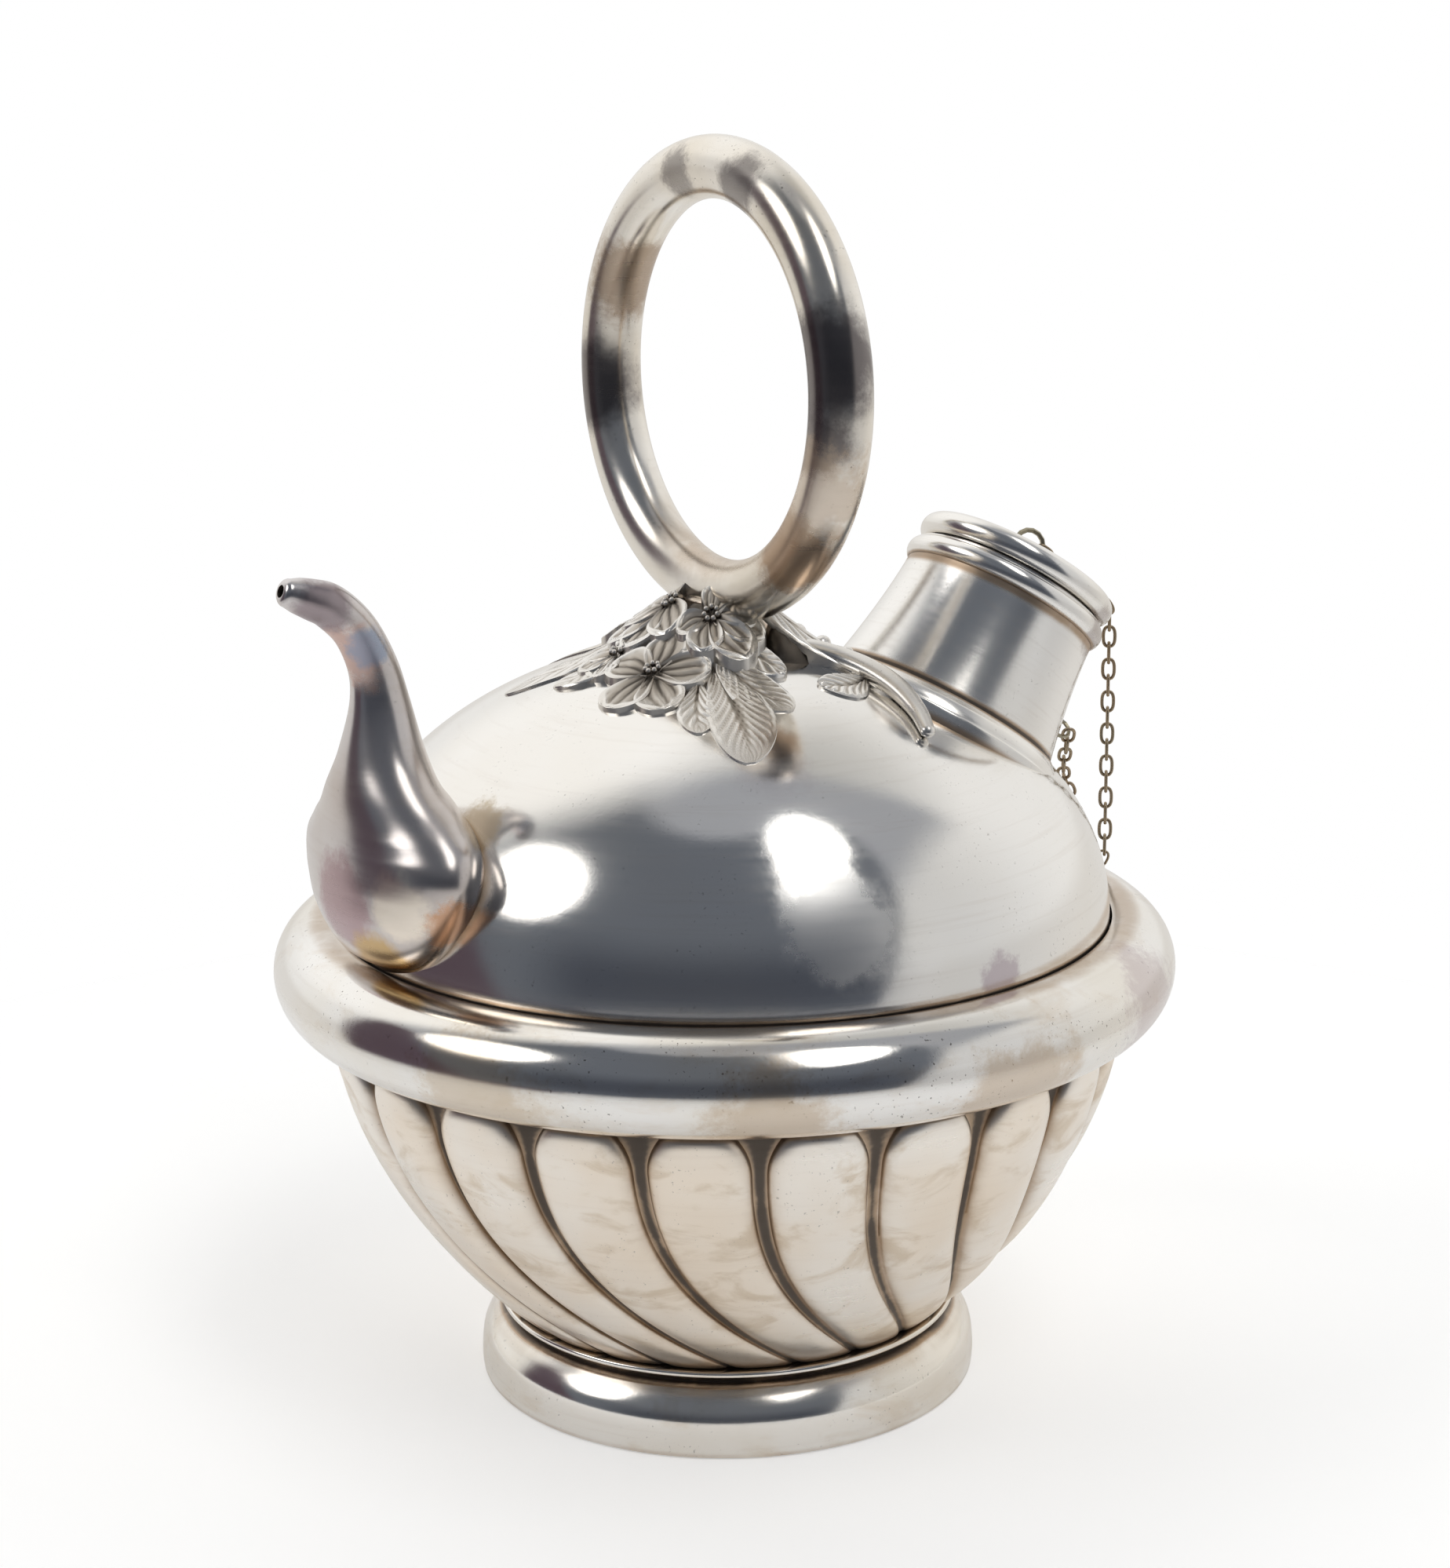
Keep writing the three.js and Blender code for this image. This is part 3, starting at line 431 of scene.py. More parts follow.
spout_silver = silver(
    "spout_silver", rough=0.19, warmth=0.8, specks=0.25, dented=0.25,
    clean=(0.7, 0.67, 0.67), warm=(0.6, 0.53, 0.48),
    stains_and_reflections=[
        ((-83.7, -2.6, 158.0), 9.0, (0.62, 0.42, 0.36), 0.8, 0.8, 0.08),
        ((-79.6, -4.2, 160.1), 5.0, (0.3, 0.38, 0.52), 0.7, 0.6, 0.03),
        ((-88.0, -2.5, 168.0), 7.0, (0.3, 0.24, 0.26), 0.8, 0.5, 0.03),
        ((-86.2, -2.0, 112.0), 12.0, (0.46, 0.32, 0.34), 0.85, 0.5, 0.05),
        ((-75.0, -25.0, 111.0), 6.5, (0.66, 0.36, 0.2), 0.8, 0.7, 0.05),
        # A painted reflection of the rim moulding, in gold, at the bottom of the spout's bulb
        ((-82.0, -10.0, 101.5), 9.0, (0.62, 0.42, 0.18), 0.9, 0.4, 0.03),
        # A painted reflection of the pale floor, in cream, on the lower bulb
        ((-82.7, -18.6, 114.4), 8.0, (0.97, 0.88, 0.76), 0.8, 0.5, 0.0),
    ])
neck_silver = silver(
    "neck_silver", rough=0.17, warmth=0.4, specks=0.25, matrix=neck_matrix, grain=1.3,
    stains_and_reflections=[((66.0, -38.0, 151.0), 7.0, (0.3, 0.24, 0.22), 0.6, 0.6, 0.1)])
cast_silver = silver(
    "cast_silver", rough=0.2, warmth=0.8, specks=0.3, streak=0.3, dented=1.4,
    clean=(0.88, 0.86, 0.83), warm=(0.76, 0.72, 0.65), brown=(0.44, 0.39, 0.33), dark=(0.1, 0.085, 0.07))
chain_steel = silver(
    "chain_steel", rough=0.3, warmth=0.9, specks=0.6, streak=0.3,
    clean=(0.42, 0.38, 0.28), warm=(0.3, 0.26, 0.17), dark=(0.1, 0.075, 0.05))


def dress(piece, node, body="jug"):
    """Hands a piece over: the body it rides on and the solid it stands for."""
    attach(piece, body)
    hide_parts(node)


# Foot
foot_line = np.vstack([
    smooth_path([(FOOT_BAND, 0), (FOOT_RADIUS - 0.8, 0), (FOOT_RADIUS - 0.1, 1), (FOOT_RADIUS, 4),
                 (FOOT_RADIUS - 0.5, 8), (FOOT_RADIUS - 2.1, 11), (FOOT_FLANGE - 0.1, 13.2)], 6),
    straight([(FOOT_WAIST, 13.7), (FOOT_WAIST + 0.2, 14.4)], 0.4),
    arc(FOOT_FLANGE - 0.7, 15.65, 0.7, -80, 80, 8),
    straight([(FOOT_FLANGE - 1.2, FOOT_HEIGHT), (FOOT_TOP_HOLE, FOOT_HEIGHT),
              (FOOT_TOP_HOLE, FOOT_HEIGHT - SHEET)]),
    straight([(FOOT_WAIST - 1.6, FOOT_HEIGHT - SHEET), (FOOT_RADIUS - 3.5, 10), (FOOT_RADIUS - 1.9, 7),
              (FOOT_RADIUS - SHEET, SHEET), (FOOT_BAND, SHEET), (FOOT_BAND, 0)]),
])
foot_line[:, 1] = np.maximum(foot_line[:, 1], 0)


def foot_dirt(r, z):
    return 0.95 * near(z, 13.9, 0.8) + 0.16 * near(z, 11.8, 1.4) + 0.2 * near(z, 0.5, 0.8) + 0.03


dress(turned(foot_line, 192, foot_dirt).make("foot_skin", foot_silver), "foot_ring")


# Bowl
BOWL_TOP = BOWL_SHOULDER + 0.3
BOWL_DROP = (BOWL_TOP - BOWL_BASE) / (1 - (BOWL_BASE_RADIUS / BOWL_RADIUS) ** BOWL_ROUND) ** (1 / BOWL_FALL)


def bowl_outer(z):
    return BOWL_RADIUS * (1 - np.clip((BOWL_TOP - z) / BOWL_DROP, 0, 1) ** BOWL_FALL) ** (1 / BOWL_ROUND)


def groove_depth(z):
    climb = np.minimum(1, (z - BOWL_BASE) / DEPTH_RISE)
    return LOBE_DEPTH - (LOBE_DEPTH - LOBE_DEPTH_BASE) * (1 - climb) ** 2


def bowl_rows():
    """Height, radius over the lobes and groove depth, from the base over the shoulder to the collar."""
    bend = BOWL_SHOULDER - 1.4
    shoulder = bowl_outer(bend)
    rows = [(z, float(bowl_outer(z)), float(groove_depth(z))) for z in np.linspace(BOWL_BASE, bend, 46)]
    for share in (0.25, 0.5, 0.75, 1.0):
        angle = share * math.pi / 2
        radius = shoulder - (shoulder - DOME_RADIUS) * (1 - math.cos(angle))
        rows.append((bend + 1.7 * math.sin(angle), radius, LOBE_DEPTH * math.cos(angle)))
    return rows + [(RIM_HEIGHT, DOME_RADIUS, 0.0)]


def bowl_piece():
    half = np.array([0.2, 0.4, 0.58, 0.73, 0.85, 0.93, 0.98, 1])
    share = np.concatenate([-half[::-1], [0], half, [1.14]])
    local = np.tile(share, LOBES)
    lobe = np.repeat(np.arange(LOBES), len(share))
    swell = np.sqrt(np.maximum(0, 1 - np.abs(local) ** 3))
    swell[local > 1] = -0.06
    points, dirt = [], []
    for z, radius, depth in bowl_rows():
        fall = max(0.0, (BOWL_TOP - z) / (BOWL_TOP - BOWL_BASE))
        end = min(1.0, max(0.0, 1 - (BOWL_SHOULDER - z) / PANEL_END))
        panel = PANEL_SHARE - (PANEL_SHARE - PANEL_SHARE_TOP) * end ** 2.2
        place = lobe + 0.5 + np.where(local > 1, 0.5, local * panel)
        angle = np.radians(FIRST_GROOVE + 360 / LOBES * place + SWIRL * fall ** SWIRL_POWER)
        r = radius - depth * (1 - swell)
        points.append(np.stack([r * np.cos(angle), r * np.sin(angle), np.full_like(r, z)], 1))
        # Painted shade: the grooves darken with their depth, most along their floors; the same value also
        # darkens the joints at the top, under the moulding, and at the base
        shade = (1 - swell) ** 1.1 * min(1, depth / 1.5) * (0.36 + 0.6 * (local > 1))
        shade = shade + 0.3 * near(z, BOWL_TOP, 1.6) + 0.5 * near(z, BOWL_BASE, 2.5)
        dirt.append(np.clip(shade + 0.05, 0, 1))
    build = Build()
    columns = len(local)
    build.grid(np.array(points), np.array(dirt))
    build.cap(0, columns, flip=True)
    inner = []
    inner_rows = 24
    for z in np.linspace(RIM_HEIGHT, BOWL_BASE + SHEET, inner_rows):
        level = min(z, BOWL_TOP)
        r = min(DOME_RADIUS, float(bowl_outer(level)) - float(groove_depth(level))) - SHEET
        angle = np.linspace(0, 2 * math.pi, columns, endpoint=False)
        inner.append(np.stack([r * np.cos(angle), r * np.sin(angle), np.full(columns, z)], 1))
    start = build.grid(np.array(inner), 0.3)
    build.cap(start + columns * (inner_rows - 1), columns)
    return build.make("bowl_skin", bowl_silver, sharp=60)


dress(bowl_piece(), "bowl")


# Dome
def dome_piece():
    t = np.linspace(0, math.pi / 2, 73)[:-1]
    outer = np.stack([DOME_RADIUS * np.cos(t), DOME_CREASE + DOME_RISE * np.sin(t)], 1)
    inner = np.stack([(DOME_RADIUS - DOME_WALL) * np.cos(t[::-4]),
                      DOME_CREASE + (DOME_RISE - DOME_WALL) * np.sin(t[::-4])], 1)
    profile = np.vstack([[[DOME_RADIUS, RIM_HEIGHT + SEAM]], outer, [[0.4, DOME_CREASE + DOME_RISE]],
                         [[0.4, DOME_CREASE + DOME_RISE - DOME_WALL]], inner,
                         [[DOME_RADIUS - DOME_WALL, RIM_HEIGHT + SEAM]], [[DOME_RADIUS, RIM_HEIGHT + SEAM]]])

    def dirt(r, z):
        return 0.9 * near(z, DOME_CREASE, 0.7) + 0.04 * near(z, DOME_CREASE + 3, 3.0)

    piece = turned(profile, 256, dirt).make("dome_skin", dome_silver)
    cut_port(piece)
    return piece


def cut_port(piece):
    """Cuts the hole under the neck."""
    cutter = bmesh.new()
    radius = PORT_RADIUS * MM
    bmesh.ops.create_cone(cutter, cap_ends=True, segments=64, radius1=radius, radius2=radius, depth=50 * MM)
    bmesh.ops.translate(cutter, verts=cutter.verts, vec=(0, 0, -8 * MM))
    place = neck_matrix.copy()
    place.translation = place.translation * MM
    bmesh.ops.transform(cutter, matrix=place, verts=cutter.verts)
    port = bpy.data.meshes.new("port")
    cutter.to_mesh(port)
    cutter.free()
    tool = add("port", port)
    cut = piece.modifiers.new("port", "BOOLEAN")
    cut.object, cut.operation, cut.solver = tool, "DIFFERENCE", "FAST"
    shape = bpy.data.meshes.new_from_object(piece.evaluated_get(bpy.context.evaluated_depsgraph_get()))
    piece.modifiers.clear()
    piece.data = shape
    bpy.data.objects.remove(tool)


dress(dome_piece(), "dome")


# Rim moulding
rim_open = math.degrees(math.acos((DOME_RADIUS + 1.6 * SEAM - RIM_RADIUS) / RIM_TUBE))
rim_line = np.vstack([
    arc(RIM_RADIUS, RIM_HEIGHT, RIM_TUBE, rim_open, -rim_open, 48),
    arc(RIM_RADIUS, RIM_HEIGHT, RIM_TUBE - SHEET, -rim_open, rim_open, 16),
    arc(RIM_RADIUS, RIM_HEIGHT, RIM_TUBE, rim_open, rim_open - 0.01, 1),
])


def rim_dirt(r, z):
    return 0.32 * near(z, 97.6, 0.7) + 0.14 * near(z, 81, 3.5) + 0.6 * near(z, 77.6, 0.9)


dress(turned(rim_line, 256, rim_dirt).make("rim_skin", rim_silver), "rim_moulding")


# Ring handle
def ring_piece():
    around = np.linspace(0, 2 * math.pi, 192, endpoint=False)[:, None]
    across = np.linspace(0, 2 * math.pi, 40, endpoint=False)[None, :]
    r = RING_RADIUS + RING_TUBE * np.cos(across)
    points = np.stack([RING_TUBE * np.sin(across) + 0 * around, r * np.cos(around),
                       RING_HEIGHT + r * np.sin(around)], 2)
    low = np.clip((-np.sin(around) + 0.2) / 1.2, 0, 1) ** 2
    inside = np.clip(-np.cos(across), 0, 1)
    build = Build()
    build.grid(points, 0.05 + 0.1 * low + 0.15 * inside * low, wrap_rows=True)
    return build.make("ring_skin", ring_silver)


dress(ring_piece(), "ring_handle")

APEX = DOME_CREASE + DOME_RISE
boss_line = np.vstack([
    straight([(BOSS_FOOT, APEX - 4), (BOSS_FOOT, APEX + 0.8)]),
    smooth_path([(BOSS_FOOT, APEX + 1.2), (BOSS_FOOT - 1.6, APEX + 3.2), (BOSS_TOP + 0.4, APEX + 5),
                 (BOSS_TOP, APEX + 7.4), (BOSS_TOP - 0.2, BOSS_HEIGHT - 0.6)], 6),
    arc(BOSS_TOP - 1.2, BOSS_HEIGHT - 1, 1, 0, 90, 4),
    straight([(BOSS_TOP - 1.2, BOSS_HEIGHT), (0.2, BOSS_HEIGHT)]),
])


def boss_dirt(r, z):
    return 0.35 + 0.5 * near(z, APEX + 1, 2)


dress(turned(boss_line, 96, boss_dirt).make("boss_skin", ring_silver), "handle_boss")


# Spout, each section as x, z, half its depth and half its width
SPOUT = [(-73.7, 95.7, 2, 4.2), (-74.2, 100, 5.5, 13.4), (-75, 104, 9, 19.6), (-75, 109, 11.3, 23.6),
         (-74.4, 114, 12.3, 26.2), (-73.9, 119, 12.5, 27.3), (-74.1, 123, 12.2, 26), (-74.7, 127, 11, 22),
         (-75.5, 132, 9.7, 15.8), (-75.6, 139, 7.9, 9.8), (-75.7, 148.4, 5.7, 5.9), (-76.9, 155.7, 4.7, 4.6),
         (-80.2, 162.8, 4.3, 4.2), (-84.9, 167.6, 4.2, 4.1), (-88.9, 169.5, 3.8, 3.7),
         (-94.8, 171.6, 2.7, 2.7)]
SPOUT_WALL = 1.1
BORE_LEAST = 1.0
MOUTH_BORE = 1.1  # radius of the bore just inside the tip
MOUTH_DEPTH = 1.5
BORE_FROM = 40  # the bore runs from this point of the smoothed line
BORE_BEFORE_TIP = 6  # and stops this many points short of its end


def spout_rings(sections, along):
    angle = np.linspace(0, 2 * math.pi, 72, endpoint=False)
    rings = []
    for (x, z, depth, width), (ax, az) in zip(sections, along):
        a, b = depth * np.cos(angle), width * np.sin(angle)
        rings.append(np.stack([x + a * az, b, z - a * ax], 1))
    return np.array(rings)


def spout_piece():
    line = smooth_path(SPOUT, 6)
    line[:, 2:] = np.maximum(line[:, 2:], 0.3)
    run = np.gradient(line[:, :2], axis=0)
    run /= np.linalg.norm(run, axis=1)[:, None]

    # The tip's edge is rounded over
    nose = np.radians([0, 20, 40, 60, 78, 90])
    tip = np.repeat(line[-1:], len(nose), 0)
    tip[:, :2] -= np.outer(1.4 * (1 - np.sin(nose)), run[-1])
    tip[:, 2:] -= 1.5 * (1 - np.cos(nose))[:, None]
    line = np.vstack([line[:-3], tip])
    run = np.vstack([run[:-3], np.repeat(run[-1:], len(nose), 0)])
    outer = spout_rings(line, run)

    back = line[BORE_FROM:-BORE_BEFORE_TIP][::-1]
    bore = np.vstack([line[-1:], line[-1:], back])
    bore[2:, 2:] -= SPOUT_WALL
    bore[:, 2:] = np.maximum(BORE_LEAST, bore[:, 2:])
    bore[1:3, 2:] = MOUTH_BORE
    bore[1, :2] -= run[-1] * MOUTH_DEPTH
    inner = spout_rings(bore, np.vstack([run[-1:], run[-1:], run[BORE_FROM:-BORE_BEFORE_TIP][::-1]]))

    x, y, z = outer[:, :, 0], outer[:, :, 1], outer[:, :, 2]
    dome_r = DOME_RADIUS * np.sqrt(np.maximum(0, 1 - (np.maximum(z - DOME_CREASE, 0) / DOME_RISE) ** 2))
    seam = near(np.hypot(x, y) - dome_r, 0, 1.6) * (z < 132)
    build = Build()
    build.grid(outer, np.clip(0.3 * seam + 0.05, 0, 1))
    build.grid(np.concatenate([outer[-1:], inner]), 0.8)
    return build.make("spout_skin", spout_silver, sharp=50)


dress(spout_piece(), "spout")


# Neck and stopper
def neck_radius(along):
    share = np.clip((along - NECK_CREASE) / (NECK_LIP - NECK_CREASE), 0, 1)
    return NECK_RADIUS + NECK_SPREAD * (1 - share) ** NECK_POWER


heights = np.linspace(NECK_CREASE, NECK_LIP + LIP_TUBE - 0.2, 40)
neck_line = np.vstack([
    straight([(NECK_FOOT, NECK_CREASE - NECK_DEPTH), (NECK_FOOT, NECK_CREASE - 0.6)]),
    np.stack([neck_radius(heights), heights], 1),
    np.stack([neck_radius(heights[::-1]) - NECK_WALL, heights[::-1]], 1),
    straight([(NECK_FOOT - NECK_WALL, NECK_CREASE - NECK_DEPTH), (NECK_FOOT, NECK_CREASE - NECK_DEPTH)]),
])
skirt_line = np.vstack([
    smooth_path([(SKIRT_RADIUS, NECK_CREASE - NECK_DEPTH), (SKIRT_RADIUS, NECK_CREASE - 6.2),
                 (SKIRT_RADIUS - 0.4, NECK_CREASE - 3.8), (SKIRT_RADIUS - 1.2, NECK_CREASE - 2.1),
                 (SKIRT_RADIUS - 2.3, NECK_CREASE - 1), (NECK_FOOT + 0.7, NECK_CREASE - 0.4)], 8),
    straight([(NECK_FOOT + SEAM, NECK_CREASE - 0.8), (NECK_FOOT + SEAM, NECK_CREASE - NECK_DEPTH)]),
])


def neck_dirt(r, s):
    return 0.9 * near(s, NECK_CREASE, 0.8) + 0.5 * near(s, NECK_LIP - 2.6, 1.2)


def skirt_dirt(r, s):
    return 0.8 * near(s, NECK_CREASE, 0.8) + 0.6 * near(s, NECK_CREASE - 7.5, 1.6)


def lip_dirt(r, s):
    return 0.7 * near(s, NECK_LIP - 2.3, 0.6)


def cap_dirt(r, s):
    return 0.5 * near(r, 17.7, 0.5) * (s > STOPPER_BEAD)


def sleeve_dirt(r, s):
    return 0.25 + 0 * r


def neck_part(profile, segments, dirt, name):
    return turned(profile, segments, dirt).make(name, neck_silver, matrix=neck_matrix)


dress(neck_part(neck_line, 160, neck_dirt, "neck_skin"), "neck_tube")
dress(neck_part(skirt_line, 160, skirt_dirt, "skirt_skin"), "neck_skirt")

lip_centre = LIP_RADIUS - LIP_TUBE
lip_open = math.degrees(math.acos((NECK_RADIUS + 0.1 - lip_centre) / LIP_TUBE))
lip_line = arc(lip_centre, NECK_LIP, LIP_TUBE, lip_open, -lip_open, 24)
dress(neck_part(lip_line, 160, lip_dirt, "lip_skin"), "neck_lip_bead")

NECK_BORE = NECK_RADIUS - NECK_WALL
CAP_BEAD = STOPPER_RADIUS - STOPPER_TUBE
CROWN_EDGE = CAP_BEAD - 0.4 * STOPPER_TUBE
CROWN_FOOT = STOPPER_BEAD + 0.73 * STOPPER_TUBE
SLEEVE_TOP = STOPPER_BEAD - STOPPER_TUBE + 0.8


def crown_top(r):
    return CROWN_FOOT + CROWN_RISE * (1 - (r / CROWN_EDGE) ** 2)


crown = np.linspace(0.1, CROWN_EDGE, 20)
bead_end = -math.degrees(math.acos((NECK_BORE - CAP_BEAD) / STOPPER_TUBE))
cap_line = np.vstack([
    np.stack([crown, crown_top(crown)], 1),
    arc(CAP_BEAD, STOPPER_BEAD, STOPPER_TUBE, 112, bead_end, 28),
    straight([(NECK_BORE, SLEEVE_TOP + SEAM), (CROWN_EDGE, crown_top(CROWN_EDGE) - CAP_THICK)]),
    np.stack([crown[::-1], crown_top(crown[::-1]) - CAP_THICK], 1),
])
dress(neck_part(cap_line, 160, cap_dirt, "cap_skin"), "stopper_cap", body="stopper")

sleeve_out = NECK_BORE - SEAM
sleeve_in = sleeve_out - SLEEVE_WALL
sleeve_foot = SLEEVE_TOP - SLEEVE_LENGTH
sleeve_line = straight([(sleeve_out, SLEEVE_TOP), (sleeve_out, sleeve_foot), (sleeve_in, sleeve_foot),
                        (sleeve_in, SLEEVE_TOP), (sleeve_out, SLEEVE_TOP)], 2)
dress(neck_part(sleeve_line, 128, sleeve_dirt, "sleeve_skin"), "stopper_sleeve", body="stopper")


# Wire pieces keep the place and turn of their solids, read from the solids' points
def placed(node):
    """Middle, long, side and flat direction and half the length in mm."""
    data = nodes[node].data
    points = np.empty(len(data.vertices) * 3)
    data.vertices.foreach_get("co", points)
    points = np.unique(points.reshape(-1, 3).round(6), axis=0)
    middle = points.mean(0)
    _, vectors = np.linalg.eigh(np.cov((points - middle).T))
    long, flat = vectors[:, 2], vectors[:, 0]
    side = np.cross(flat, long)
    half = np.ptp((points - middle) @ long) / MM / 2
    return middle, long, side, flat, half


def link_piece(node):
    """An oval link of round wire, squarer than an ellipse."""
    middle, long, side, flat, half = placed(node)
    steps, wire_steps, squareness = 28, 10, 0.75
    wire = OPENED_LINK_WIRE if node in OPENED_LINKS else LINK_WIRE
    t = np.linspace(0, 2 * math.pi, steps, endpoint=False)
    x = (half - LINK_WIRE) * np.sign(np.cos(t)) * np.abs(np.cos(t)) ** squareness
    y = LINK_HALF_WIDTH * np.sign(np.sin(t)) * np.abs(np.sin(t)) ** squareness
    centre = np.stack([x, y], 1)
    run = np.roll(centre, -1, 0) - np.roll(centre, 1, 0)
    run /= np.linalg.norm(run, axis=1)[:, None]
    out = np.stack([run[:, 1], -run[:, 0]], 1)
    points = np.zeros((steps, wire_steps, 3))
    for k, phase in enumerate(np.linspace(0, 2 * math.pi, wire_steps, endpoint=False)):
        points[:, k, :2] = centre + out * wire * math.cos(phase)
        points[:, k, 2] = wire * math.sin(phase)
    basis = np.stack([long, side, flat])
    build = Build()
    build.grid(points @ basis + middle / MM, 0.3, wrap_rows=True)
    return build.make(node + "_wire", chain_steel)


for body, members in frame["record"]["behaviour"]["bodies"].items():
    for node in members:
        if "_link_" in node:
            dress(link_piece(node), node, body=body)
for node in ("stopper_eye", "neck_staple"):
    nodes[node].data.materials.clear()
    nodes[node].data.materials.append(chain_steel)


# Cast sprays
def over_dome(x, y, lift):
    return np.array([x, y, dome_z(x, y) + lift])


MOUND_EDGE = 0.5
MOUND_RISE = 12.0
MOUND_REACH = 15.5
SPRAY_EDGE = 35
SPRAY_FALL = 13


def mound(x, y):
    """Rise of the spray's body over the dome, highest at the boss."""
    return MOUND_EDGE + MOUND_RISE * math.exp(-(x * x + y * y) / MOUND_REACH ** 2)


def slope(x, y):
    """One near the boss, falling to the spray's outer edge, where flowers and leaves lie flat."""
    return min(1.0, max(0.25, (SPRAY_EDGE - math.hypot(x, y)) / SPRAY_FALL))


def plate(build, top, dirt, thick):
    """Closes a chased surface into a plate that reaches the spray's body below it."""
    rows, columns = dirt.shape
    low = top.copy()
    for point in low.reshape(-1, 3):
        ground = dome_z(point[0], point[1])
        deep = mound(point[0], point[1]) - 1.2
        point[2] = min(point[2] - thick, ground + (deep if deep > 1.6 else -0.4))
    build.grid(top, dirt, wrap_columns=False)
    build.grid(low, 0.85, wrap_columns=False, flip=True)
    edge = [(0, j) for j in range(columns)] + [(i, columns - 1) for i in range(1, rows)]
    edge += [(rows - 1, j) for j in range(columns - 2, -1, -1)] + [(i, 0) for i in range(rows - 2, 0, -1)]
    build.grid(np.array([[top[i, j] for i, j in edge], [low[i, j] for i, j in edge]]), 0.2, flip=True)


def leaf(build, base, tip, width, lift, bend, veins=7, twist=0.0, blunt=0.5):
    """A broad leaf: raised rim, hollow midrib and fine veins that sweep toward its tip."""
    rows, columns = 44, 31
    base, tip = np.array(base, float), np.array(tip, float)
    run = tip - base
    side = np.array([-run[1], run[0]]) / np.linalg.norm(run)
    top = np.zeros((rows, columns, 3))
    dirt = np.zeros((rows, columns))
    for i, t in enumerate(np.linspace(0, 1, rows)):
        if t < 0.55:
            half = width / 2 * (0.3 + 0.7 * math.sin(math.pi * (t / 0.55) / 2))
        else:
            half = width / 2 * max(0.02, 1 - ((t - 0.55) / 0.45) ** (1.3 + blunt)) ** blunt
        for j, s in enumerate(np.linspace(-1, 1, columns)):
            x, y = base + run * t + side * (bend * math.sin(math.pi * t) + s * half)
            sweep = 0.75 * t - 0.3 * abs(s) ** 0.8
            vein = math.cos(2 * math.pi * veins * sweep + 1.5 * math.sin(7 * t + 3 * s))
            rib = math.exp(-(s / 0.1) ** 2) * (1 - t ** 3)
            rim = math.exp(-((abs(s) - 0.9) / 0.12) ** 2)
            rise = mound(x, y) * (1 - 0.35 * t) + twist * s * t
            rise += slope(x, y) * lift * (1 - 0.5 * t * t) * (1 - 0.6 * s * s)
            rise += 0.16 * vein * (1 - rim) * min(1, 3 * abs(s)) - 0.4 * rib + 0.25 * rim
            rise -= 0.5 * s ** 8 + 0.5 * t ** 8
            top[i, j] = over_dome(x, y, max(0.4, rise))
            dirt[i, j] = 0.08 + 0.35 * rib + 0.3 * max(0, -vein) * (1 - rim) + 0.2 * (1 - t) ** 3
    plate(build, top, dirt, 1.4)


def petal(build, centre, angle, length, width, lift, cup):
    """A wide oval petal with a raised rim, its striped hollow falling to the flower's eye."""
    rows, columns = 30, 21
    c, s0 = math.cos(math.radians(angle)), math.sin(math.radians(angle))
    top = np.zeros((rows, columns, 3))
    dirt = np.zeros((rows, columns))
    for i, t in enumerate(np.linspace(0.03, 1, rows)):
        wide = width / 2 * (0.22 + 0.78 * math.sin(math.pi / 2 * min(1, t / 0.6)) ** 1.3)
        if t > 0.6:
            wide *= math.sqrt(max(0.0, 1 - ((t - 0.6) / 0.4) ** 2)) * 0.97 + 0.03
        for j, s in enumerate(np.linspace(-1, 1, columns)):
            x = centre[0] + c * length * t - s0 * wide * s
            y = centre[1] + s0 * length * t + c * wide * s
            out = min(1.0, math.hypot(s, max(0.0, (t - 0.55) / 0.45)))
            rim = math.exp(-((out - 0.9) / 0.15) ** 2)
            stripe = math.cos(13 * s + 2 * math.sin(4 * t))
            rise = mound(x, y) + slope(x, y) * (lift + cup * t * (1.6 - t) + 0.45 * rim - 0.7 * t ** 4)
            rise += 0.2 * rim + 0.13 * stripe * (1 - rim) - 0.5 * (1 - t) ** 2
            top[i, j] = over_dome(x, y, rise)
            dirt[i, j] = 0.1 + 0.55 * (1 - t) ** 3 + (1 - rim) * (0.32 * max(0, -stripe) + 0.22 * (out < 0.8))
    plate(build, top, dirt, 1.0)


def ball(build, centre, radii, turn=0.0, dirt=0.25):
    t = np.linspace(0.02, math.pi - 0.02, 14)[:, None]
    p = np.linspace(0, 2 * math.pi, 20, endpoint=False)[None, :]
    x, y, z = np.sin(t) * np.cos(p), np.sin(t) * np.sin(p), -np.cos(t) + 0 * p
    x, y, z = radii[0] * x, radii[1] * y, radii[2] * z
    c, s = math.cos(math.radians(turn)), math.sin(math.radians(turn))
    points = np.stack([c * x - s * y + centre[0], s * x + c * y + centre[1], z + centre[2]], 2)
    build.grid(points, dirt + 0.4 * (z < 0))


def flower(build, x, y, lift, cup, petals):
    """Petals as (direction in degrees, length, width), every other one raised, and a ring of stamens."""
    for k, (angle, length, width) in enumerate(petals):
        petal(build, (x, y), angle, length, width, lift + 0.35 * (k % 2), cup)
    for i in range(7):
        a = 2 * math.pi * i / 7
        px, py = x + 1.3 * math.cos(a), y + 1.3 * math.sin(a)
        ball(build, over_dome(px, py, mound(px, py) + lift + 0.8), (0.55, 0.55, 0.7))


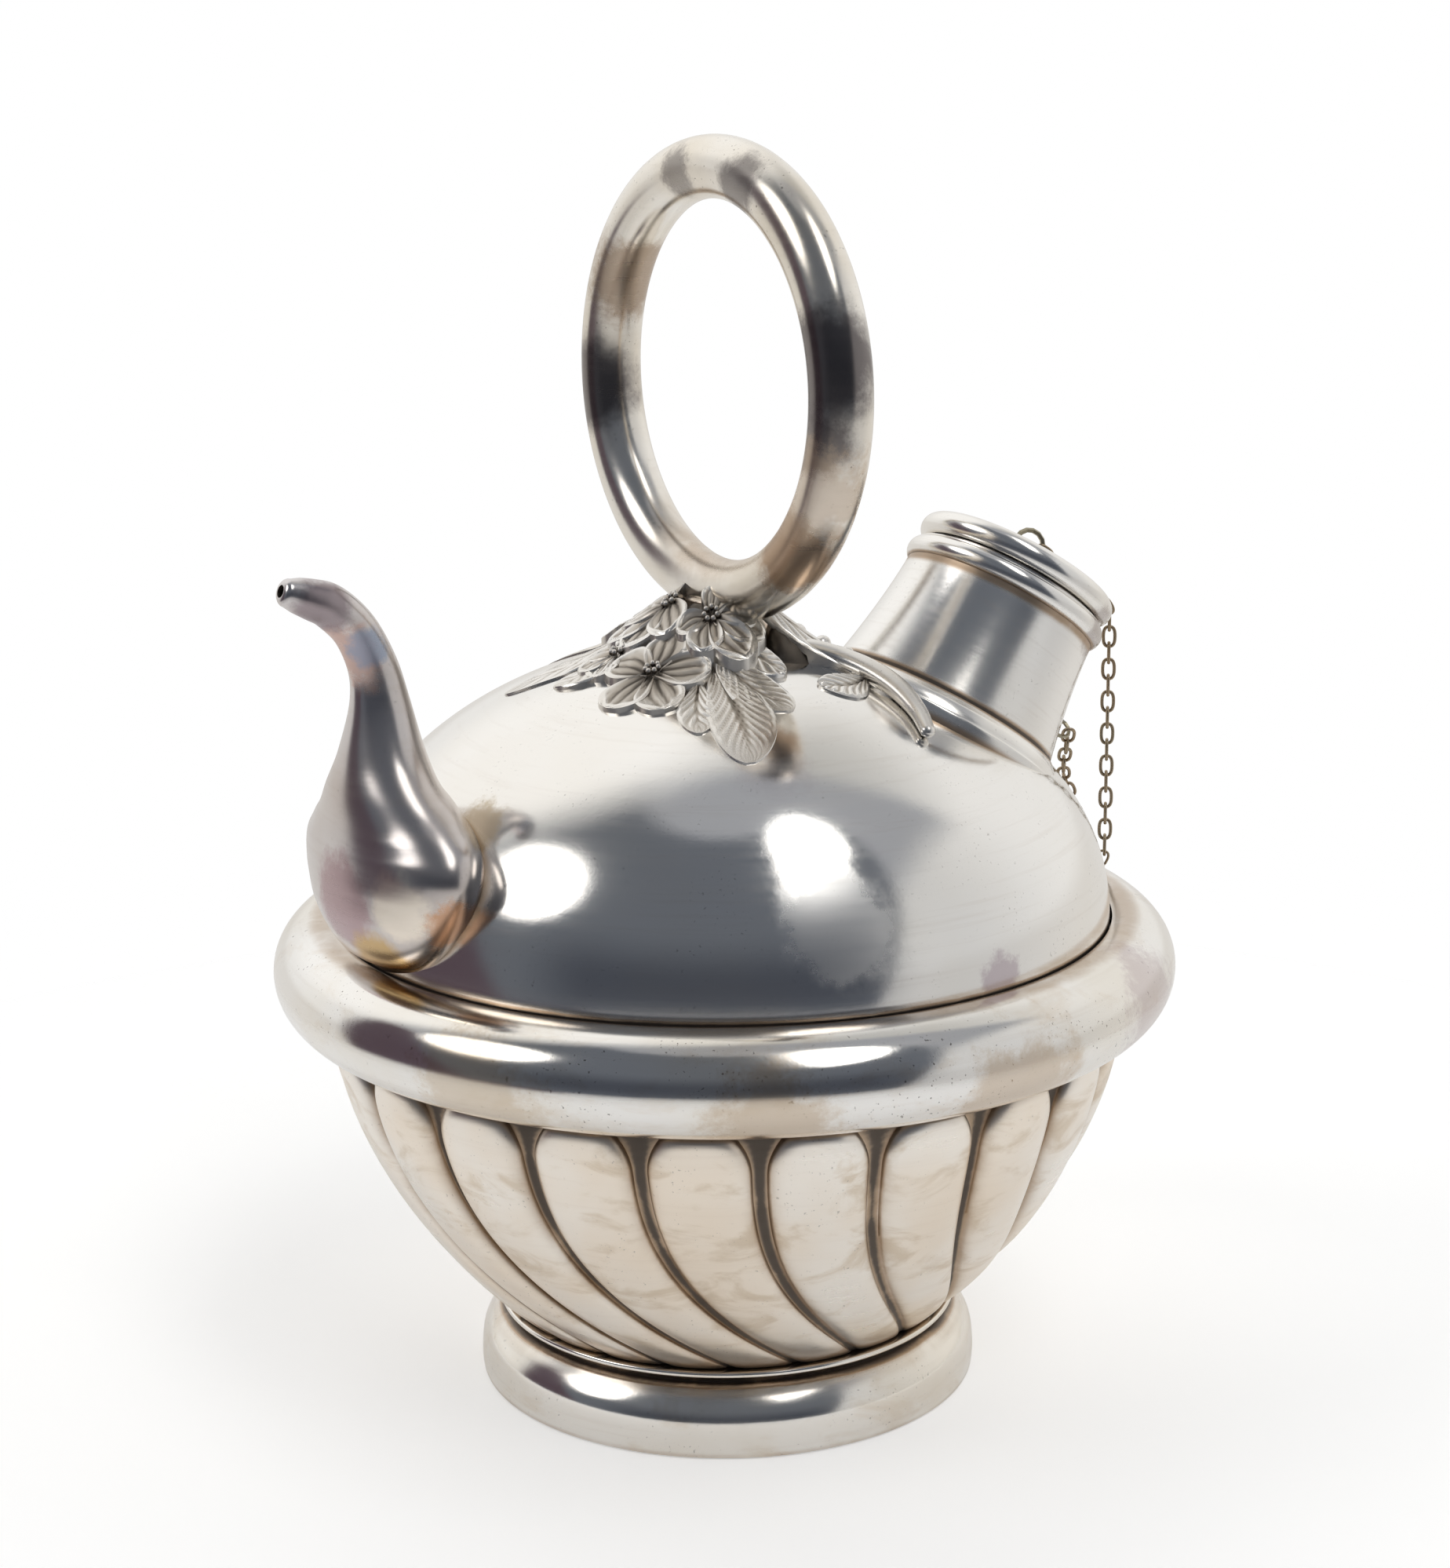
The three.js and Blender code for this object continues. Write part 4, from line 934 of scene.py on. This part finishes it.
def body(build, x, y, wide, deep, turn):
    """The ground of the spray between flowers and leaves, a low swell that ends at the dome."""
    c, s0 = math.cos(math.radians(turn)), math.sin(math.radians(turn))
    spin = np.linspace(0, 2 * math.pi, 48, endpoint=False)
    rings = []
    for k in np.linspace(0.02, 1, 14):
        ring = []
        for a in spin:
            u, v = wide * k * math.cos(a), deep * k * math.sin(a) * (1 + 0.08 * math.sin(5 * a))
            px, py = x + c * u - s0 * v, y + s0 * u + c * v
            rise = mound(px, py) + 0.15 * math.sin(9 * a + 6 * k)
            ring.append(over_dome(px, py, rise * (1 - k ** 5) - 0.4 * k))
        rings.append(ring)
    start = build.grid(np.array(rings), 0.75)
    build.cap(start, 48, flip=True)


def stem(build, points):
    """A round stem through points (x, y, radius), lying on the dome and ending in a soft knob."""
    line = smooth_path([(*over_dome(x, y, 0.55 * r + 0.8), r) for x, y, r in points], 10)
    nose = line[-1] - line[-2]
    end = line[-1].copy()
    for k in (0.2, 0.4, 0.6, 0.78, 0.9, 0.97, 1.0):
        tail = end + nose / np.linalg.norm(nose[:3]) * end[3] * k
        tail[3] = end[3] * math.sqrt(max(0.0, 1 - k * k)) + 0.02
        line = np.vstack([line, tail])
    run = np.gradient(line[:, :3], axis=0)
    run /= np.linalg.norm(run, axis=1)[:, None]
    out = np.cross(run, [0, 0, 1.0])
    out /= np.linalg.norm(out, axis=1)[:, None]
    up = np.cross(out, run)
    phase = np.linspace(0, 2 * math.pi, 18, endpoint=False)
    rings = [at[:3] + at[3] * (np.cos(phase)[:, None] * out[i] + 0.85 * np.sin(phase)[:, None] * up[i])
             for i, at in enumerate(line)]
    start = build.grid(np.array(rings), 0.15)
    build.cap(start + 18 * (len(line) - 1), 18)


def front_spray():
    build = Build()
    body(build, -12, -8, 15, 13, 30)
    body(build, -19, 4, 10, 11, -20)
    body(build, -22, -14, 9, 8, 40)
    body(build, -14, -22, 8, 8, 0)
    leaf(build, (-18, 7), (-38.5, 19.5), 8.5, 0.7, -0.8, blunt=0.6)
    leaf(build, (-21, 3), (-35, 6), 9.5, 1.0, 0.6, twist=0.8)
    leaf(build, (-17, 9), (-29, 20), 9.5, 1.0, 0.4)
    leaf(build, (-14, -20), (-22.6, -44.5), 13, 0.7, 1.2, veins=13)
    leaf(build, (-19, -21), (-26.5, -33), 7.5, 0.7, -0.4)
    leaf(build, (-11, -16), (-7.5, -35.5), 11, 0.8, -1.2, veins=10, blunt=0.55)
    leaf(build, (-6, -14), (-1, -24), 8, 0.8, -0.6)
    flower(build, -10.5, 2.5, 1.6, 0.9, [(183, 12, 9.5), (111, 11, 9), (147, 12.5, 9), (232, 10, 8),
                                         (60, 8, 7)])
    flower(build, -8.6, -9.5, 2.0, 1.2, [(-20, 9.5, 8), (-88, 12.5, 9), (-52, 11, 8.5), (-135, 9, 7.5),
                                         (160, 7, 6), (40, 6, 6)])
    flower(build, -22.5, 2.5, 0.8, 0.5, [(200, 8, 7), (150, 8, 7), (100, 7.5, 6.5)])
    flower(build, -23.2, -11.2, 0.9, 0.7, [(33, 11, 9.2), (-46, 11.6, 9.2), (-112, 13, 9.8),
                                           (-168, 12.4, 9.8), (100, 11.6, 9)])
    return build


def neck_spray():
    build = Build()
    body(build, 9, -12, 8, 6, 30)
    leaf(build, (3, -8), (17.5, -25), 9.5, 1.6, 1.8, veins=8, twist=-1.0)
    leaf(build, (14.5, -22), (19, -36), 6, 1.4, 0.8)
    leaf(build, (14.5, -28.5), (3.2, -29.5), 9, 1.5, 1.5, veins=8, blunt=0.6)
    stem(build, [(5.8, -11.2, 2.0), (10, -16.2, 2.4), (14, -21.6, 2.4), (16.5, -27.6, 2.5),
                 (17.8, -34.6, 2.4), (17.4, -41.6, 1.9), (15.8, -47.0, 1.5)])
    for x, y, size in ((11.5, -9.5, 1.9), (15.2, -13, 1.7), (17.8, -17.5, 1.6), (19.4, -22, 1.4)):
        ball(build, over_dome(x, y, mound(x, y) * 0.5 + 0.8), (size * 1.2, size, size), 40, 0.15)
    return build


def back_spray():
    build = Build()
    body(build, -3, 18, 9, 7, 20)
    leaf(build, (-7, 22), (-14, 44), 11, 1.1, -1.5, blunt=0.42)
    leaf(build, (0, 22), (4, 42), 9.5, 1.3, 1.5)
    stem(build, [(2, 18, 1.6), (9, 24, 1.9), (13.5, 33, 1.8), (16, 44, 1.6)])
    flower(build, -4, 19, 1.5, 1.2, [(20, 10, 8), (92, 11, 8.6), (164, 11, 8.6), (236, 9.5, 8),
                                     (308, 9.5, 8)])
    return build


for spray, node in ((front_spray, "floral_spray_front"), (neck_spray, "floral_spray_neck"),
                    (back_spray, "floral_spray_back")):
    dress(spray().make(spray.__name__, cast_silver, sharp=50), node)


# Floor, camera and light
FLOOR_RADIUS = 2.2  # metres
FLOOR_DROP = 0.0002
FLOOR_SIDES = 64
FADE_FROM, FADE_TO = 0.13, 0.42  # the floor turns clear between these distances, in metres


def floor():
    """Pale paper that keeps the jug's shadow and fades into the white round it."""
    mesh = bpy.data.meshes.new("floor")
    angles = np.linspace(0, 2 * math.pi, FLOOR_SIDES, endpoint=False)
    ring = [(FLOOR_RADIUS * math.cos(a), FLOOR_RADIUS * math.sin(a), -FLOOR_DROP) for a in angles]
    mesh.from_pydata(ring, [], [tuple(range(FLOOR_SIDES))])
    n = Surface("paper")
    n.shader.inputs["Roughness"].default_value = 0.9
    grain = n.ramp(n.noise(n.here, 900.0, 2.0), 0.3, 0.7)
    n.put(n.shader.inputs["Base Color"], n.mix(grain, (0.84, 0.84, 0.835), (0.86, 0.86, 0.855)))
    path = n.new("ShaderNodeLightPath")
    n.shader.inputs["Emission Color"].default_value = (1, 1, 1, 1)
    in_metal = n.math("MULTIPLY", path.outputs["Is Glossy Ray"], 0.15)
    n.put(n.shader.inputs["Emission Strength"],
          n.math("MULTIPLY_ADD", path.outputs["Is Camera Ray"], 0.36, in_metal))
    parts = n.new("ShaderNodeSeparateXYZ")
    n.put(parts.inputs[0], n.here)
    reach = n.math("SQRT", n.math("ADD", n.math("MULTIPLY", parts.outputs[0], parts.outputs[0]),
                                  n.math("MULTIPLY", parts.outputs[1], parts.outputs[1])))
    n.put(n.shader.inputs["Alpha"], n.ramp(reach, FADE_FROM, FADE_TO, 1.0, 0.0))
    mesh.materials.append(n.material)
    add("floor", mesh)


floor()

camera = add("camera", bpy.data.cameras.new("camera"))
camera.location = CAMERA_PLACE
camera.rotation_mode = "QUATERNION"
look = CAMERA_FORWARD.to_track_quat("-Z", "Y")
camera.rotation_quaternion = look @ Quaternion((0, 0, 1), CAMERA_ROLL)
camera.data.sensor_width = SENSOR
camera.data.lens = FOCAL_PIXELS * SENSOR / PHOTO_HEIGHT
camera.data.clip_start = 0.01
bpy.context.scene.camera = camera

# Studio seen in the metal: dark room and two lamps behind the camera, pale walls and a soft back lamp
world = bpy.data.worlds.new("studio")
bpy.context.scene.world = world
world.use_nodes = True
studio = Nodes(world.node_tree)
studio.tree.nodes.clear()
direction = studio.new("ShaderNodeTexCoord").outputs["Generated"]
CAMERA_SIDE = -122.88  # azimuth of the camera; the studio's azimuths count from it, to the right


def toward(azimuth, elevation):
    """Cosine of the angle between the ray and a direction in degrees."""
    a, e = math.radians(CAMERA_SIDE + azimuth), math.radians(elevation)
    dot = studio.new("ShaderNodeVectorMath", operation="DOT_PRODUCT")
    studio.put(dot.inputs[0], direction)
    dot.inputs[1].default_value = (math.cos(a) * math.cos(e), math.sin(a) * math.cos(e), math.sin(e))
    return dot.outputs["Value"]


def spot(azimuth, elevation, inner, outer):
    """A round lamp, fading from its inner to its outer radius in degrees."""
    far, close = math.cos(math.radians(outer)), math.cos(math.radians(inner))
    return studio.ramp(toward(azimuth, elevation), far, close)


up = toward(0, 90)
elevation = studio.math("MULTIPLY", studio.math("ARCSINE", up), math.degrees(1))
azimuth = studio.math("MULTIPLY", studio.math("ARCTAN2", toward(90, 0), toward(0, 0)), math.degrees(1))


def between(value, low, high, soft):
    over_low = studio.ramp(value, low - soft, low + soft)
    return studio.math("MULTIPLY", over_low, studio.ramp(value, high - soft, high + soft, 1, 0))


def panel(azimuths, elevations, soft, tilt=0.0):
    """A soft-edged panel seen from the jug. With a negative tilt it widens as it rises."""
    widening = studio.math("ADD", studio.math("MULTIPLY", elevation, tilt / 60), 1.0)
    leaned = studio.math("MULTIPLY", azimuth, widening)
    return studio.math("MULTIPLY", between(leaned, *azimuths, soft), between(elevation, *elevations, soft))


def oval(azimuth_at, elevation_at, wide, high, lean):
    """A lamp, degrees wide and high, that leans so that it shows upright on the dome."""
    rise = studio.math("SUBTRACT", elevation, elevation_at)
    aside = studio.math("SUBTRACT", azimuth, azimuth_at)
    aside = studio.math("SUBTRACT", aside, studio.math("MULTIPLY", rise, lean))
    level = studio.math("SQRT", studio.math("SUBTRACT", 1.0, studio.math("MULTIPLY", up, up)))
    across = studio.math("DIVIDE", studio.math("MULTIPLY", aside, level), wide)
    along = studio.math("DIVIDE", rise, high)
    far = studio.math("ADD", studio.math("MULTIPLY", across, across), studio.math("MULTIPLY", along, along))
    return studio.ramp(far, 0.65, 1.3, 1, 0)


BELOW, WALLS, CEILING = (0.74, 0.72, 0.69), (0.86, 0.85, 0.83), (0.5, 0.495, 0.48)
CAMERA_WALL, HAZE = (0.42, 0.43, 0.45), (0.34, 0.35, 0.375)
SPOUT_DARK, ROOM_DARK, ROOM_DEEP = (0.085, 0.062, 0.078), (0.12, 0.132, 0.155), (0.04, 0.045, 0.06)
LEFT_LAMP, RIGHT_LAMP, BACK_LAMP = (2.6, 2.56, 2.5), (2.8, 2.77, 2.7), (1.0, 0.99, 0.97)

sky = studio.mix(studio.ramp(up, -0.05, 0.1), BELOW, WALLS)
sky = studio.mix(studio.ramp(up, 0.6, 0.95), sky, CEILING)
sky = studio.mix(studio.math("MULTIPLY", between(azimuth, -100, 100, 30), 0.5), sky, CAMERA_WALL)
ahead = studio.math("MULTIPLY", studio.ramp(toward(0, 0), -0.3, -0.16), studio.ramp(elevation, -16, 0))
ahead = studio.math("MULTIPLY", ahead, between(toward(90, 0), -0.86, 0.7, 0.08))
sky = studio.mix(ahead, sky, HAZE)
sky = studio.mix(panel((-106, -40), (-18, 34), 4), sky, SPOUT_DARK)
sky = studio.mix(panel((-72, 47), (-14, 75), 3, -0.37), sky, ROOM_DARK)
sky = studio.mix(studio.math("MULTIPLY", panel((-52, 46), (-13, 20), 14), 0.75), sky, ROOM_DEEP)
sky = studio.mix(spot(-72, 39, 12, 17), sky, LEFT_LAMP)
sky = studio.mix(oval(46, 60, 10, 17, 0.85), sky, RIGHT_LAMP)
sky = studio.mix(spot(-145, 45, 18, 40), sky, BACK_LAMP)

shown = studio.new("ShaderNodeBackground")
studio.put(shown.inputs["Color"], sky)
white = studio.new("ShaderNodeBackground")
white.inputs["Color"].default_value = (1, 1, 1, 1)
paths = studio.new("ShaderNodeLightPath")
choice = studio.new("ShaderNodeMixShader")
studio.put(choice.inputs[0], paths.outputs["Is Camera Ray"])
studio.put(choice.inputs[1], shown.outputs[0])
studio.put(choice.inputs[2], white.outputs[0])
studio.put(studio.new("ShaderNodeOutputWorld").inputs["Surface"], choice.outputs[0])

key = add("key", bpy.data.lights.new("key", "AREA"))
key.data.shape, key.data.size, key.data.energy = "DISK", 0.9, 6.0
key.location = (-0.2, -1.3, 1.5)
key.rotation_mode = "QUATERNION"
key.rotation_quaternion = (-key.location).to_track_quat("-Z", "Y")
key.visible_glossy = False

bpy.context.scene.view_settings.view_transform = "Standard"
